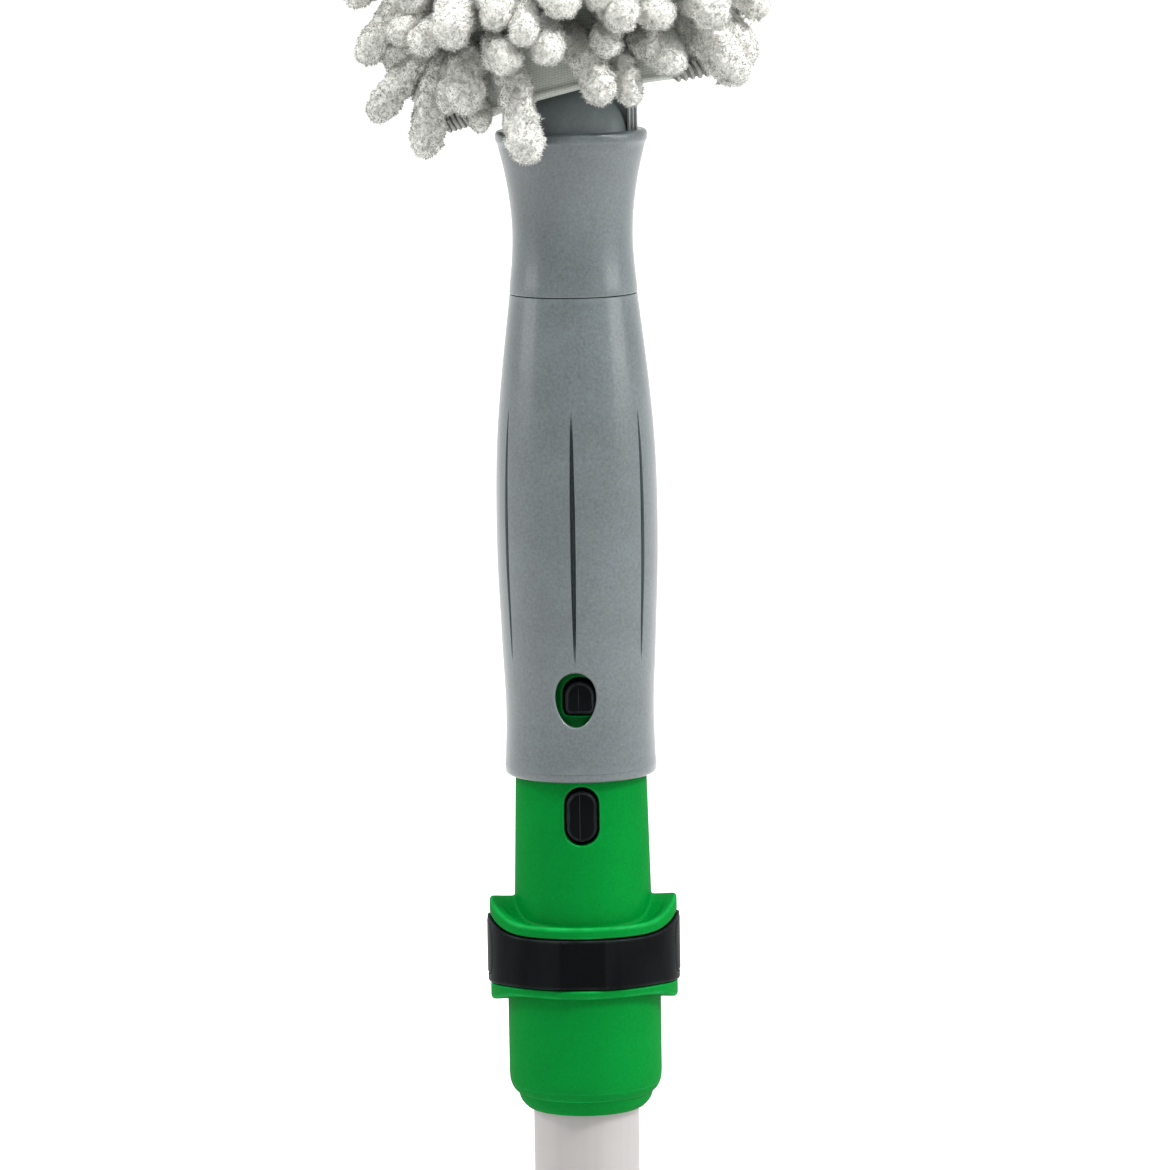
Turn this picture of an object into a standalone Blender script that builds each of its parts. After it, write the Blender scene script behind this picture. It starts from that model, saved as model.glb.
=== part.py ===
"""Microfiber duster on a pole: chenille sleeve, bendable flat core, handle, locking cone, clip and tube.

The pole stands along Z with the middle of the end cap's flat bottom at the origin. The front, with the two
lock buttons, faces -Y, and the release pads lie on the X axis. Lengths are in metres.
"""

import math

import bmesh
import bpy
import numpy as np
from mathutils import Matrix, Vector

# Clearances that the pieces share
FIT_GAP = 0.0003
RUN_GAP = 0.0004
CUT_OVERRUN = 0.0020

# Pole tube and its end cap
POLE_RADIUS = 0.0110
POLE_WALL = 0.0015
POLE_SHOWN = 0.2300
CAP_WALL = 0.0022
CAP_FLOOR = 0.0040
CAP_DEPTH = 0.0210
CAP_EDGE = 0.0010

LIP_Z = CAP_FLOOR + CAP_DEPTH + POLE_SHOWN
TUBE_INNER = POLE_RADIUS - POLE_WALL
BORE_RADIUS = POLE_RADIUS + FIT_GAP

# Locking cone: lip, collar, the two flanges and the groove between them, heights measured up from the lip
LIP_WALL = 0.0009
LIP_FLARE = 0.0011
LIP_HEIGHT = 0.0026
LEDGE_WIDTH = 0.0007
COLLAR_WALL = 0.00465
COLLAR_START = 0.0066
COLLAR_LENGTH = 0.0196
GROOVE_DEPTH = 0.00085
GROOVE_LENGTH = 0.0115
FLANGE_SIDE_PROUD = 0.00355
FLANGE_FRONT_PROUD = 0.00125
FLANGE_ROUND = 0.0009
LOWER_FLANGE_THICKNESS = 0.0024
UPPER_FLANGE_THICKNESS = 0.0023
LOWER_BASE_DROP = 0.0033
LOWER_TOP_DROP = 0.0016
UPPER_BASE_LIFT = 0.0020
UPPER_TOP_LIFT = 0.0025
RIM_WIDTH = 0.0019
DISH_DEPTH = 0.0006
EAR_SHARPNESS = 10

LIP_FOOT_RADIUS = BORE_RADIUS + LIP_WALL
LIP_TOP_RADIUS = LIP_FOOT_RADIUS + LIP_FLARE
COLLAR_RADIUS = BORE_RADIUS + COLLAR_WALL
GROOVE_RADIUS = COLLAR_RADIUS - GROOVE_DEPTH
FLANGE_HALF_WIDTH = COLLAR_RADIUS + FLANGE_SIDE_PROUD
FLANGE_HALF_DEPTH = COLLAR_RADIUS + FLANGE_FRONT_PROUD
LOWER_FLANGE_BASE = COLLAR_START + COLLAR_LENGTH
LOWER_FLANGE_TOP = LOWER_FLANGE_BASE + LOWER_FLANGE_THICKNESS
UPPER_FLANGE_BASE = LOWER_FLANGE_TOP + GROOVE_LENGTH
UPPER_FLANGE_TOP = UPPER_FLANGE_BASE + UPPER_FLANGE_THICKNESS

# Taper of the cone and the chamber in it, above the end of the tube
TUBE_BEYOND_FLANGE = 0.0016
CONE_STEP = 0.0008
CONE_TAPER = 0.00195
CONE_WALL = 0.00215
CONE_ROUND = 0.0015
CHAMBER_HEADROOM = 0.0235
CHAMBER_ROOF = 0.0040

TUBE_INSERT = UPPER_FLANGE_TOP + TUBE_BEYOND_FLANGE
TUBE_TOP = LIP_Z + TUBE_INSERT
CHAMBER_FLOOR = TUBE_TOP + FIT_GAP
CONE_FOOT_RADIUS = GROOVE_RADIUS - CONE_STEP
CONE_TIP_RADIUS = CONE_FOOT_RADIUS - CONE_TAPER
CHAMBER_RADIUS = CONE_TIP_RADIUS - CONE_WALL

# Lock lever, its two buttons, pivot pin, carrier and spring
PIVOT_RISE = 0.0057
LEVER_WIDTH = 0.0050
LEVER_THICKNESS = 0.0025
LEVER_FRONT_GAP = 0.0005
LEVER_BEYOND_BUTTON = 0.0021
LEVER_BOSS_RADIUS = 0.0021
PIN_RADIUS = 0.0010
LOWER_BUTTON_RISE = 0.0134
LOWER_BUTTON_WIDTH = 0.0063
LOWER_BUTTON_LENGTH = 0.0109
LOWER_SLOT_SIDE_GAP = 0.00055
LOWER_SLOT_END_GAP = 0.0007
UPPER_BUTTON_RISE = 0.0140
UPPER_BUTTON_LENGTH = 0.0076
UPPER_BUTTON_WIDTH = 0.0062
UPPER_SLOT_SIDE_GAP = 0.0006
UPPER_SLOT_HEADROOM = 0.0011
BUTTON_PROUD = 0.0007
UPPER_BUTTON_PROUD = 0.0017
BUTTON_CHAMFER = 0.0007
EAR_WIDTH = 0.0017
EAR_RADIUS = 0.0018
BOSS_GAP = 0.0006
CARRIER_BACK = 0.0012
CARRIER_STEP_RISE = 0.0070
CARRIER_BEYOND_SPRING = 0.0060
SPRING_DROP = 0.0068
SPRING_RADIUS = 0.0019
SPRING_WIRE = 0.0005
SPRING_TURNS = 4
SEAT_RADIUS = 0.0011
SEAT_LENGTH = 0.0014
FOOT_ABOVE_SLOT = 0.00125

LOWER_SLOT_WIDTH = LOWER_BUTTON_WIDTH + 2 * LOWER_SLOT_SIDE_GAP
LOWER_SLOT_LENGTH = LOWER_BUTTON_LENGTH + 2 * LOWER_SLOT_END_GAP
UPPER_SLOT_WIDTH = UPPER_BUTTON_WIDTH + 2 * UPPER_SLOT_SIDE_GAP
PIVOT_HEIGHT = TUBE_INSERT + FIT_GAP + PIVOT_RISE
LEVER_FRONT = math.sqrt(CHAMBER_RADIUS**2 - (LEVER_WIDTH / 2) ** 2) - LEVER_FRONT_GAP
PIVOT_DEPTH = LEVER_FRONT - LEVER_THICKNESS
LOWER_BUTTON_HEIGHT = PIVOT_HEIGHT + LOWER_BUTTON_RISE
HANDLE_FOOT = LOWER_BUTTON_HEIGHT + LOWER_SLOT_LENGTH / 2 + FOOT_ABOVE_SLOT
UPPER_BUTTON_FOOT = HANDLE_FOOT + UPPER_BUTTON_RISE
LEVER_TOP = UPPER_BUTTON_FOOT + UPPER_BUTTON_LENGTH + LEVER_BEYOND_BUTTON
SPRING_HEIGHT = UPPER_BUTTON_FOOT - SPRING_DROP
CARRIER_STEP = PIVOT_DEPTH - LEVER_BOSS_RADIUS - BOSS_GAP
CARRIER_STEP_TOP = PIVOT_HEIGHT + CARRIER_STEP_RISE
CARRIER_TOP = SPRING_HEIGHT + CARRIER_BEYOND_SPRING
CONE_TOP = LEVER_TOP + CHAMBER_HEADROOM + CHAMBER_ROOF

# Release clip round the collar, snap buttons and the leaf spring behind them
BAND_PROUD = 0.0005
BAND_FLAT_CUT = 0.00035
BAND_WALL = 0.0020
PAD_HALF_DEPTH = 0.0056
PAD_HEIGHT = 0.0090
PAD_PROUD = 0.0005
SNAP_RADIUS = 0.0020
SNAP_HEAD_RADIUS = 0.0029
SNAP_HEAD = 0.0008
SNAP_SETBACK = 0.0019
SNAP_SIGHT = 0.0001
LEAF_THICKNESS = 0.0005
LEAF_WIDTH = 0.0050
LEAF_OVERLAP = 0.0035
LEAF_BEND_RADIUS = 0.0024
LEAF_DROP = 0.0240

BAND_HALF_WIDTH = FLANGE_HALF_WIDTH + BAND_PROUD
BAND_HALF_DEPTH = FLANGE_HALF_DEPTH + BAND_PROUD
BAND_FLAT_DEPTH = BAND_HALF_DEPTH - BAND_FLAT_CUT
BAND_MIDDLE = (LOWER_FLANGE_TOP + UPPER_FLANGE_BASE) / 2
PAD_INNER = BAND_HALF_WIDTH - BAND_WALL - RUN_GAP
PAD_TRAVEL = PAD_INNER - GROOVE_RADIUS - FIT_GAP
SNAP_INNER = TUBE_INNER - SNAP_SETBACK

# Handle: the grip swells from foot to belly and narrows to the seam, and the collar flares above it
GRIP_LENGTH = 0.0993
HANDLE_COLLAR_LENGTH = 0.0338
SEAM_GROOVE = 0.0004
HANDLE_TURN = math.radians(-3.3)
GRIP_FOOT_WALL = 0.00155
WAIST_DRAW = 0.0001
BELLY_SWELL = 0.0013
SHOULDER_DRAW = 0.00135
SEAM_DRAW = 0.0021
NECK_DRAW = 0.0008
FLARE_SWELL = 0.0012
RIM_SWELL = 0.00155
RIM_ROUND = 0.0009
FOOT_ROUND = 0.0012
WAIST_SHARE = 0.107
BELLY_SHARE = 0.473
SHOULDER_SHARE = 0.815
NECK_SHARE = 0.361
FLARE_SHARE = 0.724
SOCKET_HEADROOM = 0.0005
SEAM_WALL = 0.0022
SPIGOT_WALL = 0.0030
SPIGOT_LENGTH = 0.0100
FLUTE_COUNT = 6
FLUTE_DEPTH = 0.00093
FLUTE_HALF_WIDTH = 0.0006
FLUTE_REACH = 0.0280
WINDOW_SIDE_GAP = 0.00125
WINDOW_END_GAP = 0.0019
WINDOW_DROP = 0.0008
WINDOW_EGG_SHARE = 0.10

SEAM_HEIGHT = HANDLE_FOOT + GRIP_LENGTH
HANDLE_TOP = SEAM_HEIGHT + HANDLE_COLLAR_LENGTH
WINDOW_HALF_WIDTH = UPPER_BUTTON_WIDTH / 2 + WINDOW_SIDE_GAP
WINDOW_HALF_LENGTH = UPPER_BUTTON_LENGTH / 2 + WINDOW_END_GAP
WINDOW_HEIGHT = UPPER_BUTTON_FOOT + UPPER_BUTTON_LENGTH / 2 - WINDOW_DROP

# Core base, the flat core's links and their hinge pins
STEM_LENGTH = 0.0380
SHOULDER_RADIUS = 0.0114
SHOULDER_HEIGHT = 0.0068
SHOULDER_TIP_RADIUS = 0.0076
NECK_RIB_OUTER = 0.0134
NECK_RIB_WIDTH = 0.0018
NECK_RIB_HALF_DEPTH = 0.0035
NECK_WEB_HALF_DEPTH = 0.0015
NECK_WEB_LENGTH = 0.0190
CORE_RIB_RADIUS = 0.0035
CORE_WEB_HALF_DEPTH = 0.00225
LINK_COUNT = 6
LINK_PITCH = 0.0500
BEND_LIMIT = math.radians(15)
KNUCKLE_RADIUS = 0.0026
KNUCKLE_SPACE = 0.0008
KNUCKLE_ROOT = 0.0010
MIDDLE_KNUCKLE_HALF_WIDTH = 0.0076
SIDE_KNUCKLE_WIDTH = 0.0080
HINGE_PIN_RADIUS = 0.0010
LAST_LINK_INSET = 0.0060

KNUCKLE_STANDOFF = KNUCKLE_RADIUS + KNUCKLE_SPACE

# Chenille sleeve
MOUTH_ABOVE_HANDLE = 0.0061
MOUTH_SLOPE = 0.215
FIRST_SLICE = 0.0400
SLEEVE_HALF_WIDTH = 0.0290
MOUTH_HALF_DEPTH = 0.0125
SLEEVE_HALF_DEPTH = 0.0090
SLEEVE_WALL = 0.0015
CROWN_HEIGHT = 0.0050
CROWN_SHARE = 0.55
COLUMNS = 18
ROWS = 5
ROW_MARGIN_SHARE = 0.026
STRAND_LENGTH = 0.0200
STRAND_HALF_WIDTH = 0.0025
STRAND_TIP_HALF_WIDTH = 0.0018
MOUTH_DROOP = math.radians(56)
SLEEVE_DROOP = math.radians(34)
CROWN_DROOP = math.radians(8)
STRAND_WANDER = math.radians(3)
STRAND_KNEE_SHARE = 0.45
FIRST_DROOP_SHARE = 0.70
LAST_DROOP_SHARE = 1.15

MOUTH_HEIGHT = HANDLE_TOP + MOUTH_ABOVE_HANDLE
FIRST_HINGE = MOUTH_HEIGHT + FIRST_SLICE

# Facets: segments of each round shape
CONE_SEGMENTS = 36
GRIP_SEGMENTS = 32
TUBE_SEGMENTS = 28
SMALL_SEGMENTS = 16
PIN_SEGMENTS = 10
ARC_STEPS = 6
SMOOTH_ANGLE = math.radians(32)


def paint(name, colour, roughness, metallic=0.0):
    """A Principled material with one colour, roughness and metallic value."""
    material = bpy.data.materials.new(name)
    material.use_nodes = True
    shader = material.node_tree.nodes["Principled BSDF"]
    shader.inputs["Base Color"].default_value = (*colour, 1.0)
    shader.inputs["Roughness"].default_value = roughness
    shader.inputs["Metallic"].default_value = metallic
    return material


def solid(name, points, faces, material):
    """An object from points and faces, its faces turned outwards and shaded smooth up to SMOOTH_ANGLE."""
    mesh = bpy.data.meshes.new(name)
    mesh.from_pydata([tuple(point) for point in points], [], faces)
    work = bmesh.new()
    work.from_mesh(mesh)
    bmesh.ops.recalc_face_normals(work, faces=work.faces)
    work.to_mesh(mesh)
    work.free()
    mesh.shade_smooth()
    mesh.set_sharp_from_angle(angle=SMOOTH_ANGLE)
    mesh.materials.append(material)
    thing = bpy.data.objects.new(name, mesh)
    bpy.context.scene.collection.objects.link(thing)
    return thing


def turned(name, section_at, segments, material):
    """A solid turned about Z: section_at(angle) lists (radius, height), closed on the axis or on itself."""
    points, index = [], []
    count = len(section_at(0))
    for k in range(segments):
        angle = math.tau * k / segments
        row = []
        for i, (radius, height) in enumerate(section_at(angle)):
            if radius == 0 and k > 0:
                row.append(index[0][i])
                continue
            row.append(len(points))
            points.append((radius * math.cos(angle), radius * math.sin(angle), height))
        index.append(row)
    closed_on_axis = section_at(0)[0][0] == 0
    faces = []
    for k in range(segments):
        here, there = index[k], index[(k + 1) % segments]
        for i in range(count - 1 if closed_on_axis else count):
            j = (i + 1) % count
            loop = [here[i], here[j], there[j], there[i]]
            faces.append([v for n, v in enumerate(loop) if v not in loop[:n]])
    return solid(name, points, faces, material)


def lofted(name, rings, material):
    """A solid skinned over rings of equally many points, with flat ends."""
    count = len(rings[0])
    points = [point for ring in rings for point in ring]
    faces = [list(range(count)), [len(points) - count + i for i in range(count)]]
    for level in range(len(rings) - 1):
        for i in range(count):
            j = (i + 1) % count
            low, high = level * count, (level + 1) * count
            faces.append([low + i, low + j, high + j, high + i])
    return solid(name, points, faces, material)


def prism(name, outline, axis, start, end, material):
    """A flat outline pushed along an axis: its two numbers are the other axes, in X, Y, Z order."""
    rings = []
    for place in (start, end):
        rings.append([(*pair[:axis], place, *pair[axis:]) for pair in outline])
    return lofted(name, rings, material)


def box(name, low, high, material):
    """A rectangular block between two corners."""
    outline = [(low[0], low[1]), (high[0], low[1]), (high[0], high[1]), (low[0], high[1])]
    return prism(name, outline, 2, low[2], high[2], material)


def circle(middle, radius, count, start=0.0, sweep=math.tau):
    """Points on an arc of a flat circle, the last one left out on a full turn."""
    steps = count if sweep == math.tau else count - 1
    angles = [start + sweep * k / steps for k in range(count)]
    return [(middle[0] + radius * math.cos(a), middle[1] + radius * math.sin(a)) for a in angles]


def oval_radius(angle, half_width, half_depth):
    """Radius of an ellipse at an angle from X."""
    return 1 / math.hypot(math.cos(angle) / half_width, math.sin(angle) / half_depth)


def combine(target, other, operation):
    """A Boolean of another object on the target; the other stays as a hidden guide."""
    other.hide_render = True
    other.display_type = "WIRE"
    step = target.modifiers.new(other.name, "BOOLEAN")
    step.operation = operation
    step.solver = "EXACT"
    step.object = other


def hinge_empty(name, place, parent=None):
    """An empty on a joint's axis; pieces that move with the joint are its children."""
    empty = bpy.data.objects.new(name, None)
    bpy.context.scene.collection.objects.link(empty)
    empty.location = Vector(place) - (parent["place"] if parent else Vector((0, 0, 0)))
    empty.parent = parent["empty"] if parent else None
    return {"empty": empty, "place": Vector(place)}


def carry(joint, *pieces):
    """Parents pieces to a joint's empty and keeps them where they were modelled."""
    for piece in pieces:
        piece.parent = joint["empty"]
        piece.matrix_parent_inverse = Matrix.Translation(-joint["place"])


# Pole


def pole_tube(material):
    """The bare aluminium tube, standing on the end cap's floor."""
    low, high = CAP_FLOOR + FIT_GAP, TUBE_TOP
    section = [(POLE_RADIUS, low), (POLE_RADIUS, high), (TUBE_INNER, high), (TUBE_INNER, low)]
    tube = turned("pole_tube", lambda angle: section, TUBE_SEGMENTS, material)
    hole = circle((0, LIP_Z + BAND_MIDDLE), SNAP_RADIUS + FIT_GAP, SMALL_SEGMENTS)
    reach = POLE_RADIUS + CUT_OVERRUN
    combine(tube, prism("tube_snap_holes", hole, 0, -reach, reach, material), "DIFFERENCE")
    return tube


def end_cap(material):
    """The rubber cup on the foot of the tube."""
    outer = POLE_RADIUS + FIT_GAP + CAP_WALL
    inner = POLE_RADIUS + FIT_GAP
    top = CAP_FLOOR + CAP_DEPTH
    section = [
        (0, 0),
        (outer - CAP_EDGE, 0),
        (outer, CAP_EDGE),
        (outer, top - CAP_EDGE / 2),
        (outer - CAP_EDGE / 2, top),
        (inner, top),
        (inner, CAP_FLOOR),
        (0, CAP_FLOOR),
    ]
    return turned("end_cap", lambda angle: section, TUBE_SEGMENTS, material)


# Locking cone


def ear(angle):
    """How far round towards the sides a point of the collar lies: 0 in front, 1 at the ears."""
    return abs(math.cos(angle)) ** EAR_SHARPNESS


def cone_radius(height):
    """Outer radius of the cone at a height above the lip."""
    share = (height - UPPER_FLANGE_TOP) / (CONE_TOP - UPPER_FLANGE_TOP)
    return CONE_FOOT_RADIUS + (CONE_TIP_RADIUS - CONE_FOOT_RADIUS) * share


GRIP_FOOT_RADIUS = cone_radius(HANDLE_FOOT) + FIT_GAP + GRIP_FOOT_WALL
GRIP_WAIST_RADIUS = GRIP_FOOT_RADIUS - WAIST_DRAW
GRIP_BELLY_RADIUS = GRIP_WAIST_RADIUS + BELLY_SWELL
GRIP_SHOULDER_RADIUS = GRIP_BELLY_RADIUS - SHOULDER_DRAW
FLUTE_FLOOR_RADIUS = GRIP_BELLY_RADIUS - FLUTE_DEPTH
SEAM_RADIUS = GRIP_SHOULDER_RADIUS - SEAM_DRAW
NECK_RADIUS = SEAM_RADIUS - NECK_DRAW
FLARE_RADIUS = NECK_RADIUS + FLARE_SWELL
RIM_RADIUS = FLARE_RADIUS + RIM_SWELL
SPIGOT_RADIUS = SEAM_RADIUS - SEAM_WALL
STEM_RADIUS = SPIGOT_RADIUS - SPIGOT_WALL


def cone_section(angle):
    """The cone's section: chamber roof, chamber, tube bore, lip, collar, two saddle flanges and taper."""
    flange = oval_radius(angle, FLANGE_HALF_WIDTH, FLANGE_HALF_DEPTH)
    lower_base = LOWER_FLANGE_BASE - LOWER_BASE_DROP * ear(angle)
    lower_top = LOWER_FLANGE_TOP - LOWER_TOP_DROP * ear(angle)
    upper_base = UPPER_FLANGE_BASE + UPPER_BASE_LIFT * ear(angle)
    upper_top = UPPER_FLANGE_TOP + UPPER_TOP_LIFT * ear(angle)
    dish = upper_top - DISH_DEPTH
    section = [
        (0, CONE_TOP - CHAMBER_ROOF),
        (CHAMBER_RADIUS, CONE_TOP - CHAMBER_ROOF),
        (CHAMBER_RADIUS, TUBE_INSERT + FIT_GAP),
        (BORE_RADIUS, TUBE_INSERT + FIT_GAP),
        (BORE_RADIUS, 0),
        (LIP_FOOT_RADIUS, 0),
        ((LIP_FOOT_RADIUS + 2 * LIP_TOP_RADIUS) / 3, LIP_HEIGHT / 3),
        (LIP_TOP_RADIUS, LIP_HEIGHT),
        (LIP_TOP_RADIUS + LEDGE_WIDTH, LIP_HEIGHT + LEDGE_WIDTH),
        (COLLAR_RADIUS - LEDGE_WIDTH, COLLAR_START - 2 * LEDGE_WIDTH),
        (COLLAR_RADIUS, COLLAR_START),
        (COLLAR_RADIUS, lower_base),
        (flange - FLANGE_ROUND, lower_base),
        (flange, lower_base + FLANGE_ROUND),
        (flange, lower_top - FLANGE_ROUND / 2),
        (flange - FLANGE_ROUND / 2, lower_top),
        (GROOVE_RADIUS, lower_top),
        (GROOVE_RADIUS, upper_base),
        (flange - FLANGE_ROUND / 2, upper_base),
        (flange, upper_base + FLANGE_ROUND / 2),
        (flange, upper_top - FLANGE_ROUND),
        (flange - FLANGE_ROUND, upper_top),
        (flange - RIM_WIDTH, upper_top),
        (flange - RIM_WIDTH - DISH_DEPTH, dish),
        (cone_radius(dish), dish),
        (cone_radius(CONE_TOP - CONE_ROUND), CONE_TOP - CONE_ROUND),
        (CONE_TIP_RADIUS - CONE_ROUND, CONE_TOP),
        (0, CONE_TOP),
    ]
    return [(radius, LIP_Z + height) for radius, height in section]


def slot_outline(middle, width, length):
    """A slot with round ends in the X-Z plane."""
    radius = width / 2
    rise = (length - width) / 2
    top = circle((0, middle + rise), radius, ARC_STEPS + 2, 0, math.pi)
    foot = circle((0, middle - rise), radius, ARC_STEPS + 2, math.pi, math.pi)
    return top + foot


def upper_slot_outline():
    """The upper slot: square below, where a ledge shows in the handle's window, and round above."""
    half = UPPER_SLOT_WIDTH / 2
    foot = LIP_Z + UPPER_BUTTON_FOOT - RUN_GAP
    top = LIP_Z + UPPER_BUTTON_FOOT + UPPER_BUTTON_LENGTH + UPPER_SLOT_HEADROOM
    return [(half, foot)] + circle((0, top - half), half, ARC_STEPS + 2, 0, math.pi) + [(-half, foot)]


def locking_cone(material):
    """The green cone with its hollow, its two button slots and its snap holes."""
    cone = turned("locking_cone", cone_section, CONE_SEGMENTS, material)
    front = -(CONE_FOOT_RADIUS + CUT_OVERRUN)
    back = -(CHAMBER_RADIUS - PIVOT_DEPTH)
    low = slot_outline(LIP_Z + LOWER_BUTTON_HEIGHT, LOWER_SLOT_WIDTH, LOWER_SLOT_LENGTH)
    combine(cone, prism("lower_slot", low, 1, front, back, material), "DIFFERENCE")
    combine(cone, prism("upper_slot", upper_slot_outline(), 1, front, back, material), "DIFFERENCE")
    hole = circle((0, LIP_Z + BAND_MIDDLE), SNAP_RADIUS + RUN_GAP, SMALL_SEGMENTS)
    reach = GROOVE_RADIUS + CUT_OVERRUN
    combine(cone, prism("cone_snap_holes", hole, 0, -reach, reach, material), "DIFFERENCE")
    return cone


# Lock lever and what holds it


def button(name, outline, front, rear, material):
    """A button from its rear plane to a chamfered front, its outline shrunk twice towards its middle."""
    middle = np.mean(outline, axis=0)
    half = max(abs(point[0]) for point in outline)
    rings = []
    for inset, place in ((0, rear), (0, front + BUTTON_CHAMFER), (BUTTON_CHAMFER, front)):
        scale = 1 - inset / half
        ring = [middle + (np.array(point) - middle) * scale for point in outline]
        rings.append([(x, place, z) for x, z in ring])
    return lofted(name, rings, material)


def upper_button_outline():
    """The upper button: a flat foot with cut corners under a round top, in the X-Z plane."""
    half = UPPER_BUTTON_WIDTH / 2
    foot = LIP_Z + UPPER_BUTTON_FOOT
    top = foot + UPPER_BUTTON_LENGTH
    corner = half / 4
    arch = circle((0, top - half), half, ARC_STEPS + 2, 0, math.pi)
    right = [(half - corner, foot), (half, foot + 2 * corner)]
    return right + arch + [(-half, foot + 2 * corner), (corner - half, foot)]


def lock_lever(material):
    """The black lever: an arm on a pivot boss, the upper lock button and the lower release button."""
    front = -LEVER_FRONT
    z0 = LIP_Z + PIVOT_HEIGHT
    top = LIP_Z + LEVER_TOP
    boss = circle((-PIVOT_DEPTH, z0), LEVER_BOSS_RADIUS, SMALL_SEGMENTS, -math.pi, math.pi)
    shoulder = z0 + math.sqrt(LEVER_BOSS_RADIUS**2 - (LEVER_BOSS_RADIUS / 4) ** 2)
    neck = -(PIVOT_DEPTH - LEVER_BOSS_RADIUS / 4)
    arm_outline = [point for point in boss if point[1] <= z0]
    arm_outline += [(neck, shoulder), (-PIVOT_DEPTH, z0 + 2 * LEVER_BOSS_RADIUS)]
    arm_outline += [(-PIVOT_DEPTH, top), (front, top), (front, z0 + LEVER_BOSS_RADIUS)]
    lever = prism("lock_lever", arm_outline, 0, -LEVER_WIDTH / 2, LEVER_WIDTH / 2, material)
    rear = -(PIVOT_DEPTH + LEVER_THICKNESS / 2)
    low = slot_outline(LIP_Z + LOWER_BUTTON_HEIGHT, LOWER_BUTTON_WIDTH, LOWER_BUTTON_LENGTH)
    low_front = -(cone_radius(LOWER_BUTTON_HEIGHT) + BUTTON_PROUD)
    high_front = -(cone_radius(UPPER_BUTTON_FOOT) + UPPER_BUTTON_PROUD)
    combine(lever, button("lower_button", low, low_front, rear, material), "UNION")
    combine(lever, button("upper_button", upper_button_outline(), high_front, rear, material), "UNION")
    peg = circle((0, LIP_Z + SPRING_HEIGHT), SEAT_RADIUS, PIN_SEGMENTS)
    peg_end = SEAT_LENGTH - PIVOT_DEPTH
    combine(lever, prism("lever_peg", peg, 1, rear, peg_end, material), "UNION")
    bore = circle((-PIVOT_DEPTH, z0), PIN_RADIUS + FIT_GAP, PIN_SEGMENTS)
    reach = LEVER_WIDTH / 2 + CUT_OVERRUN
    combine(lever, prism("lever_bore", bore, 0, -reach, reach, material), "DIFFERENCE")
    return lever


def lever_pin(material):
    """The steel pin that the lever turns on."""
    reach = LEVER_WIDTH / 2 + RUN_GAP + EAR_WIDTH
    outline = circle((-PIVOT_DEPTH, LIP_Z + PIVOT_HEIGHT), PIN_RADIUS, PIN_SEGMENTS)
    return prism("lever_pin", outline, 0, -reach, reach, material)


def chord_outline(radius, depth):
    """A disc cut off flat at y = -depth, in the X-Y plane."""
    start = math.asin(-depth / radius)
    return circle((0, 0), radius, CONE_SEGMENTS // 2, start, math.pi - 2 * start)


def lever_carrier(material):
    """The insert behind the lever: a step with two ears for the pin and a back with the spring's seat."""
    radius = CHAMBER_RADIUS - FIT_GAP
    base = chord_outline(radius, CARRIER_STEP)
    carrier = prism("lever_carrier", base, 2, CHAMBER_FLOOR, LIP_Z + CARRIER_STEP_TOP, material)
    back = chord_outline(radius, CARRIER_BACK)
    low = LIP_Z + CARRIER_STEP_TOP - CARRIER_BACK
    upper = prism("carrier_back", back, 2, low, LIP_Z + CARRIER_TOP, material)
    combine(carrier, upper, "UNION")
    z0 = LIP_Z + PIVOT_HEIGHT
    ear_outline = circle((-PIVOT_DEPTH, z0), EAR_RADIUS, SMALL_SEGMENTS // 2, math.pi / 2, math.pi)
    root = EAR_RADIUS - CARRIER_STEP
    ear_outline += [(root, z0 - EAR_RADIUS), (root, z0 + EAR_RADIUS)]
    inner = LEVER_WIDTH / 2 + RUN_GAP
    for side, name in ((-1, "carrier_ear_left"), (1, "carrier_ear_right")):
        ends = sorted((side * inner, side * (inner + EAR_WIDTH)))
        combine(carrier, prism(name, ear_outline, 0, ends[0], ends[1], material), "UNION")
    bore = circle((-PIVOT_DEPTH, z0), PIN_RADIUS + FIT_GAP, PIN_SEGMENTS)
    reach = inner + EAR_WIDTH + CUT_OVERRUN
    combine(carrier, prism("carrier_bore", bore, 0, -reach, reach, material), "DIFFERENCE")
    seat = circle((0, LIP_Z + SPRING_HEIGHT), SEAT_RADIUS, PIN_SEGMENTS)
    seat_end = -(CARRIER_BACK + SEAT_LENGTH)
    combine(carrier, prism("carrier_seat", seat, 1, seat_end, CARRIER_BACK, material), "UNION")
    return carrier


def wire(name, route, radius, material):
    """A round wire along a route of points, with flat ends."""
    curve = bpy.data.curves.new(name, "CURVE")
    curve.dimensions = "3D"
    curve.bevel_depth = radius
    curve.bevel_resolution = 1
    curve.use_fill_caps = True
    spline = curve.splines.new("POLY")
    spline.points.add(len(route) - 1)
    for point, place in zip(spline.points, route):
        point.co = (*place, 1.0)
    curve.materials.append(material)
    thing = bpy.data.objects.new(name, curve)
    bpy.context.scene.collection.objects.link(thing)
    return thing


def lever_spring(material):
    """The small coil between the carrier's seat and the lever's back, wound along Y."""
    start = -(CARRIER_BACK + FIT_GAP + SPRING_WIRE / 2)
    end = -(PIVOT_DEPTH - FIT_GAP - SPRING_WIRE / 2)
    steps = SPRING_TURNS * SMALL_SEGMENTS // 2
    route = []
    for k in range(steps + 1):
        turn = math.tau * SPRING_TURNS * k / steps
        x = SPRING_RADIUS * math.cos(turn)
        z = LIP_Z + SPRING_HEIGHT + SPRING_RADIUS * math.sin(turn)
        route.append((x, start + (end - start) * k / steps, z))
    return wire("lever_spring", route, SPRING_WIRE / 2, material)


# Release clip


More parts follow.
